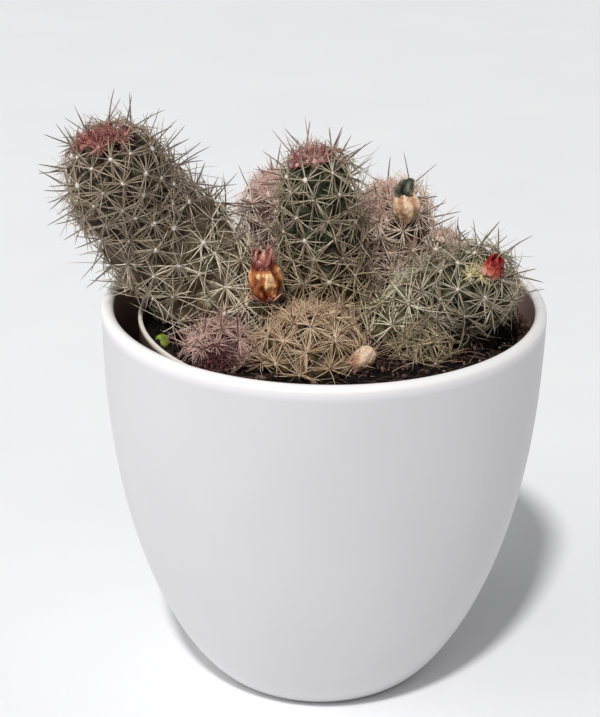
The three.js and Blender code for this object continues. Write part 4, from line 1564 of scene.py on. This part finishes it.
# A juicy young leaf: bright green, softly shining, and the light passes through it.
LEAF = Finish(
    "seed leaf", ("#5c7426", "#93a83a"), (0.35, 0.6), roughness=0.45, ior=1.4,
    clouds=(1.2, 3.0, 0.0), depth=0.08, translucent=0.25, reach=(0.8, 1.5, 0.3),
)


@dataclass(frozen=True)
class Blade:
    """The shape of a petal, a bract or a scale: thin and closed, and cupped across."""

    width: float  # half its width at its widest
    swell: float  # how far along its outline's wave it ends
    start: float  # where on that wave it starts
    blunt: float  # how blunt its ends are
    tip: float  # half its width where it ends
    cup: float  # how far its edges rise, as a share of the width
    finish: int  # which of the piece's finishes it has
    fading: float  # how much higher "rise" is at its tip
    stations: int = 12
    thick: float = 0.1
    sides: int = 12


PETAL = Blade(0.95, 2.8, 0.45, 0.7, 0.03, 0.45, 1, 0.75, stations=14)
BRACT = Blade(1.0, 2.7, 0.4, 0.7, 0.03, -0.2, 1, 0.2)
SCALE = Blade(0.95, 2.8, 0.3, 0.75, 0.02, -0.3, 0, -0.25)


@dataclass(frozen=True)
class Body:
    """The shape of a closed, lobed and wrinkled body, such as a berry, a husk or a leaf."""

    profile: tuple[tuple[float, float], ...]  # height and radius, from its foot to its tip
    lobes: int  # how many it has around
    swell: float  # how far the lobes stand out, as a share of the radius
    wrinkle: float  # how deep its wrinkles are
    rows: int
    columns: int


@dataclass
class Bloom:
    """Something that grows on a stem: it has a foot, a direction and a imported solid."""

    node: str
    slot: str
    foot: Triple
    aim: Triple
    seed: int

    def __post_init__(self) -> None:
        """Starts the random numbers and the form."""
        self.chance, self.form = np.random.default_rng(self.seed), Form()

    def place(self, points: Array) -> Array:
        """Moves points out of the bloom's own frame, in which it grows up from the origin.

        Args:
            points: The points.

        Returns:
            The moved points.
        """
        head = np.array(self.aim) / np.linalg.norm(self.aim)
        side = unit(np.cross([0.0, 1.0, 0.0], head))
        return np.array(self.foot) + points @ np.stack([side, np.cross(head, side), head])

    def body(self, kind: Body) -> tuple[Array, list[Array], Array]:
        """Makes a body about the bloom's own axis.

        Args:
            kind: Its shape.

        Returns:
            The points in the bloom's own frame, the faces, and how far each point stands out, which
            as a tone makes crests lighter and folds darker: painted light and shade.
        """
        share, spots = np.linspace(0, 1, kind.rows), np.linspace(0, 1, len(kind.profile))
        height, radius = (np.interp(share, spots, values) for values in zip(*kind.profile))
        shape, turn = turned(np.stack([radius, height], -1), kind.columns), around(kind.columns)
        wave = np.cos(kind.lobes * turn[None] + 0.5 * height[:, None] + self.seed).ravel()
        long = shape * [1.0, 1.0, 0.35]
        folds = roughened(long, 0.9, self.seed) + 0.5 * roughened(long, 0.45, self.seed + 5.0)
        # Where the lobes and folds stand out the tone is lighter, and where they sink it is darker:
        # painted light and shade.
        stand = np.clip(0.5 + 0.3 * wave + 0.35 * folds, 0, 1)
        out = unit(shape * [1.0, 1.0, 0.0])
        push = kind.swell * np.repeat(radius, kind.columns) * wave + kind.wrinkle * folds
        ends = [[0, 0, height[0] - 0.1], [0, 0, height[-1] + 0.1]]
        points = np.concatenate([shape + out * push[:, None], ends])
        return points, closed(kind.rows, kind.columns), np.concatenate([stand, [0.2, 0.2]])

    def blade(self, kind: Blade, path: Array, turn: float, rise: float) -> None:
        """Adds one blade.

        Args:
            kind: What it is.
            path: Its middle line, in the bloom's own frame.
            turn: The angle about the axis at which it faces outwards.
            rise: The value of "rise" at its foot.
        """
        share, round_it = np.linspace(0, 1, len(path)), around(kind.sides)
        wave = np.sin(np.clip(share * kind.swell + kind.start, 0, 3.1))
        half = kind.width * wave**kind.blunt + kind.tip
        across = np.array([-math.sin(turn), math.cos(turn), 0.0])
        face = np.cross(unit(np.gradient(path, axis=0)), np.broadcast_to(across, path.shape))
        half, full = half[:, None], half.max()
        wide, deep = np.cos(round_it), np.sin(round_it)
        ring = path[:, None] + across[None, None] * (half * wide)[..., None]
        lift = kind.thick * deep[None] * (0.3 + half / full) + kind.cup * half * wide[None] ** 2
        crease = 0.12 * np.cos(3 * round_it)[None] * half / full
        ring = ring + face[:, None] * (lift + crease)[..., None]
        points = np.concatenate([ring.reshape(-1, 3), path[:1], path[-1:]])
        along = np.concatenate([np.repeat(share, kind.sides), [0.0, 1.0]])
        tone = rise + kind.fading * along + 0.25 * roughened(points, 0.8, self.seed)
        faces = closed(len(path), kind.sides)
        self.form.add(self.place(points), faces, finish=kind.finish, rise=np.clip(tone, 0, 1))

    def finished(self, name: str, finishes: list[Finish]) -> None:
        """Makes the piece and puts it in its node's place."""
        settle(self.form.piece(name, finishes), self.node)


@dataclass
class WitheredFlower(Bloom):
    """A shrivelled, resinous berry with the dried petals still on it."""

    skin: Body = Body(
        ((-1.2, 1.0), (-0.4, 1.8), (0.8, 2.8), (2.4, 3.6), (4.2, 3.9), (5.9, 3.9), (7.3, 3.6),
         (8.6, 3.0), (9.4, 2.0)),
        lobes=5, swell=0.07, wrinkle=0.5, rows=80, columns=150,
    )
    length: float = 9.2
    petals: int = 18
    bracts: int = 9
    # Least length, radius at the foot and height of the inner petals, and of the outer ones.
    rows: tuple[Triple, ...] = ((4.2, 1.6, 0.5), (3.6, 2.4, 0.0))
    longer: float = 1.4  # how much longer a petal may be
    bulge: float = 0.45  # how far a petal swells out
    mouth: float = 1.7  # radius of the tuft at its tips
    sunk: float = 1.2  # how deep the petals start in the berry
    twist: tuple[float, float] = (0.35, 0.5)  # of a petal, and how much more it may be
    bract_rise: tuple[float, float] = (2.2, 1.3)  # height of a bract, and how much more
    # Angle in degrees, height, width in degrees, how far it stands out and how pale it is painted;
    # a positive paleness is a painted highlight.
    lumps: tuple[tuple[float, ...], ...] = (
        (-114, 7.0, 14, 0.6, 0.75), (-68, 7.1, 14, 0.6, 0.7), (-88, 4.6, 24, 0.6, 0.35),
        (-146, 4.0, 26, 0.5, -0.2), (-35, 4.2, 22, 0.4, -0.1),
    )

    def berry(self) -> None:
        """Makes the berry with its lobes, the two glossy ones painted lighter as highlights."""
        points, faces, stand = self.body(self.skin)
        turn = np.degrees(np.arctan2(points[:, 1], points[:, 0]))
        out = unit(points * [1.0, 1.0, 0.2])
        for spot, high, wide, push, pale in self.lumps:
            near = np.exp(-(((turn - spot) / wide) ** 2) - ((points[:, 2] - high) / 1.0) ** 2)
            points = points + out * (push * near)[:, None]
            stand = stand + pale * near
        height = points[:, 2]
        # Painted shade darkens the top of the berry, under the petals, and its foot.
        stand = 0.75 * stand - 0.1 - 0.45 * fade(height, 7.9, 8.9) - 0.3 * fade(-height, -1.5, 0.5)
        self.form.add(self.place(points), faces, rise=np.clip(stand, 0, 1))

    def build(self) -> None:
        """Makes the berry, the tuft of petals on it and the dried bracts at its foot."""
        self.berry()
        chance = self.chance
        share = np.linspace(0, 1, PETAL.stations)
        for i in range(self.petals):
            least, start, raised = self.rows[i % 3 > 0]
            turn = i / self.petals * TAU + chance.normal() * 0.15
            length = least + chance.random() * self.longer
            flare = start + self.bulge * np.sin(share * 2.6) - (start - self.mouth) * share**1.6
            twist = turn + share * (self.twist[0] + self.twist[1] * chance.random())
            rise = self.length - self.sunk + raised + length * share
            aside = np.outer(share**2, chance.normal(size=3) * [0.6, 0.6, 0.4])
            path = polar(flare, twist, rise) + aside
            # A petal's foot is dark, painted shade of the hollow under the tuft, and it turns to
            # salmon towards its tip.
            self.blade(PETAL, path, turn + 0.3, 0.4 * chance.random() - 0.25)
        share = np.linspace(0, 1, BRACT.stations)
        for i in range(self.bracts):
            turn = i / self.bracts * TAU + chance.normal() * 0.2
            reach = 1.7 + 2.5 * np.sin(share * 1.5) + (0.3 + 0.5 * chance.random()) * share**3
            rise = -0.9 + (self.bract_rise[0] + self.bract_rise[1] * chance.random()) * share
            path = polar(reach, turn + 0.25 * share * chance.normal(), rise)
            self.blade(BRACT, path, turn, 0.15 + 0.5 * chance.random())
        self.finished("withered_flower_head", [BERRY, PETALS])


@dataclass
class DryFruit(Bloom):
    """A papery husk with the dark remains of its flower on top."""

    husk: Body = Body(
        ((-3.4, 0.8), (-2.0, 1.5), (-0.6, 2.6), (0.8, 3.2), (2.2, 3.3), (3.8, 2.9), (5.2, 2.0),
         (5.8, 1.3)),
        lobes=5, swell=0.04, wrinkle=0.5, rows=60, columns=120,
    )
    cap: Body = Body(
        ((4.6, 1.4), (5.2, 2.0), (6.2, 2.1), (7.2, 1.9), (8.2, 1.4), (8.8, 0.8)),
        lobes=3, swell=0.18, wrinkle=0.8, rows=50, columns=100,
    )
    bend: float = 0.06  # how strongly the remains bend aside
    bend_height: float = 5.0  # from which height on they do
    offset: float = 0.3  # how far they stand off the husk's axis

    def build(self) -> None:
        """Makes the husk and the shrivelled remains."""
        points, faces, stand = self.body(self.husk)
        self.form.add(self.place(points), faces, rise=stand)
        points, faces, stand = self.body(self.cap)
        lean = self.bend * np.maximum(0, points[:, 2] - self.bend_height) ** 2 - self.offset
        points = points + np.outer(lean, [1, 0, 0])
        self.form.add(self.place(points), faces, finish=1, rise=stand - 0.2)
        self.finished("dry_fruit_husk", [HUSK, REMAINS])


@dataclass
class DryPup(Bloom):
    """A dried young offset: a smooth egg, mauve at its foot and lighter towards its upper end,
    partly its own pale tissue and partly a painted highlight.
    """

    egg: Body = Body(
        ((-4.5, 0.9), (-3.8, 1.5), (-2.2, 2.0), (0.0, 2.3), (1.8, 2.4), (3.2, 2.1), (4.3, 1.4),
         (4.7, 0.7)),
        lobes=4, swell=0.06, wrinkle=0.24, rows=60, columns=110,
    )
    paling: tuple[float, float] = (-3.0, 3.4)  # heights between which mauve turns pale, partly as a painted highlight

    def build(self) -> None:
        """Makes the egg with its shallow folds."""
        points, faces, stand = self.body(self.egg)
        # The tone climbs towards the upper end, partly the tissue's own pale colour and partly a
        # painted highlight.
        tone = 0.3 * stand + 0.62 * fade(points[:, 2], *self.paling) - 0.04
        self.form.add(self.place(points), faces, rise=np.clip(tone, 0, 1))
        self.finished("dry_pup_egg", [OFFSET])


@dataclass
class FlowerBud(Bloom):
    """A pointed bud wrapped in overlapping scales."""

    heart: Body = Body(
        ((-1.8, 0.7), (0.0, 0.8), (1.0, 1.3), (2.2, 1.4), (3.6, 1.1), (4.8, 0.5), (5.2, 0.2)),
        lobes=5, swell=0.05, wrinkle=0.1, rows=30, columns=60,
    )
    length: float = 5.6
    radius: float = 1.6
    whorls: int = 4
    scales: int = 5
    reach: float = 0.52  # length of a scale as a share of the bud's
    step: float = 0.85  # between whorls
    foot_height: float = 0.2
    overlap: float = 0.12  # how far each whorl stands out over the next

    def build(self) -> None:
        """Makes the bud's heart and the scales around it."""
        points, faces, stand = self.body(self.heart)
        self.form.add(self.place(points), faces, rise=stand * 0.2)
        share = np.linspace(0, 1, SCALE.stations)
        for whorl in range(self.whorls):
            for i in range(self.scales):
                turn = (i + 0.5 * (whorl % 2)) / self.scales * TAU + self.chance.normal() * 0.08
                height = (self.length * self.reach + 0.15 * self.chance.normal()) * share
                height = self.foot_height + self.step * whorl + height
                height = np.minimum(height, self.length + 0.4 * share)
                round_it = 1 - ((height - 2.0) / (self.length - 1.4)) ** 2
                reach = self.radius * np.sqrt(np.clip(round_it, 0.01, 1))
                reach = reach + self.overlap * (self.whorls - whorl) + 0.4 * share**4
                # Scales on the bud's front-left side, towards the key light, are lighter: a painted
                # highlight.
                pale = 0.4 - 0.15 * whorl + 0.3 * math.cos(turn + 2.4)
                self.blade(SCALE, polar(reach, turn, height), turn, pale)
        self.finished("flower_bud_scales", [SCALES])


@dataclass
class Sprout(Bloom):
    """A seedling: two fat seed leaves on a short stalk."""

    stalk: Body = Body(
        ((-4.0, 0.5), (-2.0, 0.55), (0.0, 0.8), (0.8, 0.9)),
        lobes=3, swell=0.03, wrinkle=0.03, rows=16, columns=24,
    )
    leaf: Body = Body(
        ((-0.9, 0.15), (-0.7, 0.75), (0.0, 1.25), (0.9, 1.2), (1.5, 0.75), (1.75, 0.15)),
        lobes=2, swell=0.06, wrinkle=0.04, rows=30, columns=48,
    )
    leaves: tuple[tuple[int, float], ...] = ((-1, 1.15), (1, 1.25))  # side and size of each
    broad: float = 1.1  # how much broader they are than the plain leaf

    def build(self) -> None:
        """Makes the two leaves and the stalk."""
        points, faces, stand = self.body(self.stalk)
        self.form.add(self.place(points), faces, rise=stand)
        for side, size in self.leaves:
            points, faces, stand = self.body(self.leaf)
            points = points * [self.broad * size, self.broad * size, size]
            points = points + [side * 0.3, -0.25 * side, 0.3 - 0.15 * side]
            self.form.add(self.place(points), faces, rise=stand)
        self.finished("sprout_leaves", [LEAF])


# ---- Scene -----------------------------------------------------------------------------------

# A white table top with a matt lacquer sprayed on it: it gives back a soft, even light.
TABLE = Finish(
    "white lacquered table", ("#f8f8f9", "#fbfbfb"), roughness=0.55, clouds=(60.0, 2.0, 0.0)
)


class Lamp(Enum):
    """The lights of the studio, by Blender's kind of light."""

    KEY = "SUN"
    LEFT_WINDOW = "AREA"


@dataclass
class Studio:
    """The camera at the photograph's place, the table top and soft light."""

    distance: float = 520.0
    elevation: float = math.radians(21.3)
    roll: float = math.radians(0.75)
    focal: float = 2098.0  # in pixels
    frame: tuple[int, int] = (600, 717)
    target: tuple[float, float] = (323.9, 298.5)  # the rim's centre in the frame
    aim: Triple = (0.0, 0.0, 100.0)
    lit: Triple = (0.0, 0.0, 80.0)
    table_size: float = 7000.0
    room: float = 0.3

    def camera(self) -> None:
        """Adds the camera, turned so that the rim's centre falls on its place in the frame."""
        data = bpy.data.cameras.new("camera")
        data.sensor_width = 36.0
        data.lens = self.focal / max(self.frame) * data.sensor_width
        data.clip_start, data.clip_end = 0.01, 20.0
        cos, sin = math.cos(self.elevation), math.sin(self.elevation)
        level, askew = math.cos(self.roll), math.sin(self.roll)
        towards, up = Vector((0.0, cos, -sin)), Vector((0.0, sin, cos))
        across = self.target[0] - self.frame[0] / 2
        down = self.target[1] - self.frame[1] / 2
        u, v = across * level + down * askew, down * level - across * askew
        forward = (towards * self.focal - Vector((u, 0.0, 0.0)) + up * v).normalized()
        right = forward.cross(Vector(UP)).normalized()
        up = right.cross(forward)
        turn = Matrix((right * level + up * askew, up * level - right * askew, -forward))
        place = (Vector(self.aim) - towards * self.distance) * MM
        made = linked("camera", data)
        made.matrix_world = Matrix.Translation(place) @ turn.transposed().to_4x4()
        bpy.context.scene.camera = made

    def light(self, lamp: Lamp, place: Triple, size: float, power: float) -> None:
        """Adds a soft light that faces the plant.

        Args:
            lamp: Which light it is.
            place: Where it hangs, or the direction that the key light comes from.
            size: Its width, or the angle in degrees that the key light fills.
            power: Its power in watts, for the key light on each square metre.
        """
        data = bpy.data.lights.new(lamp.name.lower().replace("_", " "), lamp.value)
        data.energy = power
        made = linked(data.name, data)
        if lamp is Lamp.KEY:
            data.angle = math.radians(size)
            facing = -Vector(place)
        else:
            data.size = size * MM
            made.location = Vector(place) * MM
            facing = Vector(self.lit) * MM - made.location
        made.rotation_euler = facing.to_track_quat("-Z", "Y").to_euler()

    def table(self) -> None:
        """Adds the table top that the pot stands on."""
        corners = np.array([[-1, -1, 0], [1, -1, 0], [1, 1, 0], [-1, 1, 0]])
        form = Form()
        form.add(corners * self.table_size / 2, [np.array([[0, 1, 2, 3]])])
        form.piece("table_top", [TABLE])

    def build(self) -> None:
        """Sets up the camera, the table, the lights and the room's own light."""
        self.camera()
        self.table()
        self.light(Lamp.KEY, (-0.15, -0.7, 1.0), 5.0, 2.2)
        self.light(Lamp.LEFT_WINDOW, (-1100, -250, 500), 900, 4.5)
        world = bpy.data.worlds.new("room light")
        bpy.context.scene.world = world
        world.use_nodes = True
        room = world.node_tree.nodes["Background"]
        room.inputs["Color"].default_value = linear("#f7f8fb")
        room.inputs["Strength"].default_value = self.room
        bpy.context.scene.view_settings.view_transform = "Standard"


GREEN = Coat(
    "grey green", grown=("#cbb9a2", "#7c6b53", "#fff4de", "#ead7b6"),
    central=("#7f7166", "#463a35"), fresh=("#dc9c92", "#6c0817"), ridge="#47422d",
    furrow="#16110a", blotch="#5e4e3c", cork="#9a866e", wool="#efe8de",
)
MOSS = Coat(
    "moss green", grown=("#d8cab0", "#897a5d", "#e9d4b4", "#ae926c"),
    central=("#80645c", "#45352f"), fresh=("#dcb6ac", "#9c4a50"), ridge="#37432a",
    furrow="#12120a", blotch="#4a402f", cork="#594837",
)
OLIVE = Coat(
    "yellow olive", grown=("#d3c7b1", "#857860", "#fff8de", "#f7e6bc"),
    central=("#8a7c68", "#4b4036"), fresh=("#efe8c8", "#d6c692"), ridge="#454f36",
    furrow="#18190f", blotch="#565036", cork="#85755a",
)
SEDGE = Coat(
    "brownish olive", grown=("#d4c09e", "#8f7a5c", "#c8b090", "#7b6650"),
    central=("#8a7658", "#54432f"), fresh=("#d8c49a", "#ab9268"), ridge="#5f5a44",
    furrow="#1c160d", blotch="#6f6048", cork="#64543f",
)
RUSSET = Coat(
    "pinkish brown", grown=("#ffefdc", "#e2c4b0", "#ffefda", "#d6bea6"),
    central=("#8f776c", "#503d37"), fresh=("#ffeedd", "#b07864"), ridge="#7a6450",
    furrow="#20170f", blotch="#8a6e5c", cork="#705846", wool="#f4e2d2",
)
ROSE = Coat(
    "greyish rose", grown=("#ffeee0", "#ecd2c4", "#fae6d6", "#d8bdae"),
    central=("#8a6b66", "#4a3435"), fresh=("#fadfd4", "#d2aca6"), ridge="#967a6c",
    furrow="#33221b", blotch="#9c7a72", cork="#6e564a", wool="#f0dacf",
)
STRAW = Coat(
    "straw", grown=("#efd8b6", "#b08c6c", "#ecd4b0", "#9a7c5e"), central=("#a8886c", "#7d614a"),
    fresh=("#dbb294", "#b98866"), ridge="#6c5d42", furrow="#2a2013", blotch="#826648",
    cork="#6b6148",
)
MAUVE = Coat(
    "dull mauve", grown=("#eccdbe", "#b89488", "#eecfbf", "#b29084"),
    central=("#8a6660", "#472d2e"), fresh=("#ab7a76", "#4c1c28"), ridge="#5e453c",
    furrow="#1d110f", blotch="#6b4648", cork="#5e4a40", wool="#c9aaa4",
)


def stems() -> list[Stem]:
    """The nine stems, from the tallest to the smallest.

    Returns:
        The stems, with their lines, radii, row counts, spine lengths and coats.
    """
    left = [[-15, 8, 80], [-26.5, 6, 97.5], [-38.2, 3.5, 112.5], [-48, -0.5, 126.4],
            [-50.7, -5.6, 134.3]]
    centre = [[1, 6, 80], [0, 5, 100], [-1.2, 3, 116], [-1.9, 0, 129.6]]
    right = [[16, -1, 80], [21.5, -1, 92], [29.5, -3, 101.2], [35, -5.5, 105.2],
             [37, -8.5, 106.9]]
    rear_right = [[13, 17, 80], [16, 17, 100], [17.5, 16, 115.3]]
    rear_left = [[-8, 21, 80], [-10.5, 22.5, 100], [-12, 22, 115.8]]
    back_right = [[24, 13, 80], [26.5, 14, 96], [28, 14, 106.2]]
    return [
        Stem("stem_left", "stem_green", left, [11.5, 14.6, 15.2, 13.6, 11.6], 12, 8.2, GREEN, 3,
             heart=(-0.22, -0.47, 0.84), spread=15.0, narrow=0.44,
             bare=(-26.5, -9.8, 103.4, 3.6)),
        Stem("stem_centre", "stem_green", centre, [9.5, 10.6, 10.4, 9.3], 9, 7.8, MOSS, 5,
             heart=(-0.2, -0.32, 0.93), spread=16.0, narrow=0.46),
        Stem("stem_right", "stem_green", right, [9, 10.8, 10.9, 10.4, 10.2], 9, 8.0, OLIVE, 7,
             heart=(0.0, -0.72, 0.7), spread=12.0, wisps=12, radials=15, stout=0.155),
        Stem("stem_right_foot", "stem_green", [[21.5, -12, 80], [24, -15.5, 91.5]], [6.5, 7.2],
             8, 6.8, SEDGE, 21, heart=(0.0, -0.3, 0.95), spread=4.0, wisps=18, stout=0.13,
             disorder=0.5, bristle=0.7, woolly=0.3, start=6.0, packed=False),
        Stem("stem_rear_right", "stem_brown", rear_right, [8.5, 10.4, 9.8], 9, 7.2, RUSSET, 9,
             heart=(-0.3, -0.45, 0.84), spread=40.0, radials=18, wisps=12, woolly=2.0,
             narrow=1.0),
        Stem("stem_rear_left", "stem_brown", rear_left, [8.5, 9.8, 9.4], 8, 7.2, ROSE, 11,
             heart=(0.1, -0.3, 0.9), spread=42.0, radials=22, wisps=14, woolly=2.0, narrow=1.0),
        Stem("head_front", "stem_tan", [[-2, -15.5, 79], [-2.5, -19, 90.8]], [11.5, 13.4], 12,
             7.5, STRAW, 13, spread=2.0, radials=20, wisps=24, disorder=0.48, bristle=0.7,
             woolly=0.3, lay=0.2),
        Stem("head_front_left", "stem_mauve", [[-23, -14, 79], [-25, -18.5, 90.6]], [7.6, 9.2],
             11, 6.8, MAUVE, 15, heart=(0.05, -0.93, 0.36), spread=26.0, radials=28, wisps=18,
             stout=0.13, disorder=0.38, woolly=0.3, narrow=0.9),
        Stem("stem_back_right", "stem_brown", back_right, [6, 7.3, 7.2], 7, 6.0, RUSSET, 17,
             spread=30.0, radials=16),
    ]


def blooms() -> list[WitheredFlower | DryFruit | DryPup | FlowerBud | Sprout]:
    """Lists what grows on the stems, and the seedling in the soil.

    Returns:
        Each with its node, its slot, its foot, its direction and its seed.
    """
    return [
        WitheredFlower(
            "withered_flower", "dry_petal", (-14.0, -7.2, 103.2), (-0.08, -0.1, 1.0), 4
        ),
        DryFruit("dry_fruit", "dry_fruit", (19.8, 6.6, 121.0), (-0.04, -0.2, 0.97), 6),
        DryPup("dry_pup", "dry_fruit", (8.5, -26.2, 94.3), (0.72, -0.1, 0.69), 12),
        FlowerBud("flower_bud", "flower_bud", (39.4, -16.2, 113.1), (0.27, -0.3, 0.91), 8),
        Sprout("sprout", "sprout", (-39.4, -12.8, 92.4), (0.2, -0.35, 1.0), 10),
    ]


def main() -> None:
    """Builds the pots, the soil, the plant and the studio in order."""
    logging.basicConfig(level=logging.INFO, format="%(name)s: %(message)s")
    Studio().build()
    CoverPot().build()
    pot = NurseryPot()
    pot.build()
    soil = Soil(pot)
    soil.build()
    clump = stems()
    for stem in clump:
        stem.build([other for other in clump if other is not stem], soil)
    for bloom in blooms():
        bloom.build()


if __name__ == "__main__":
    main()
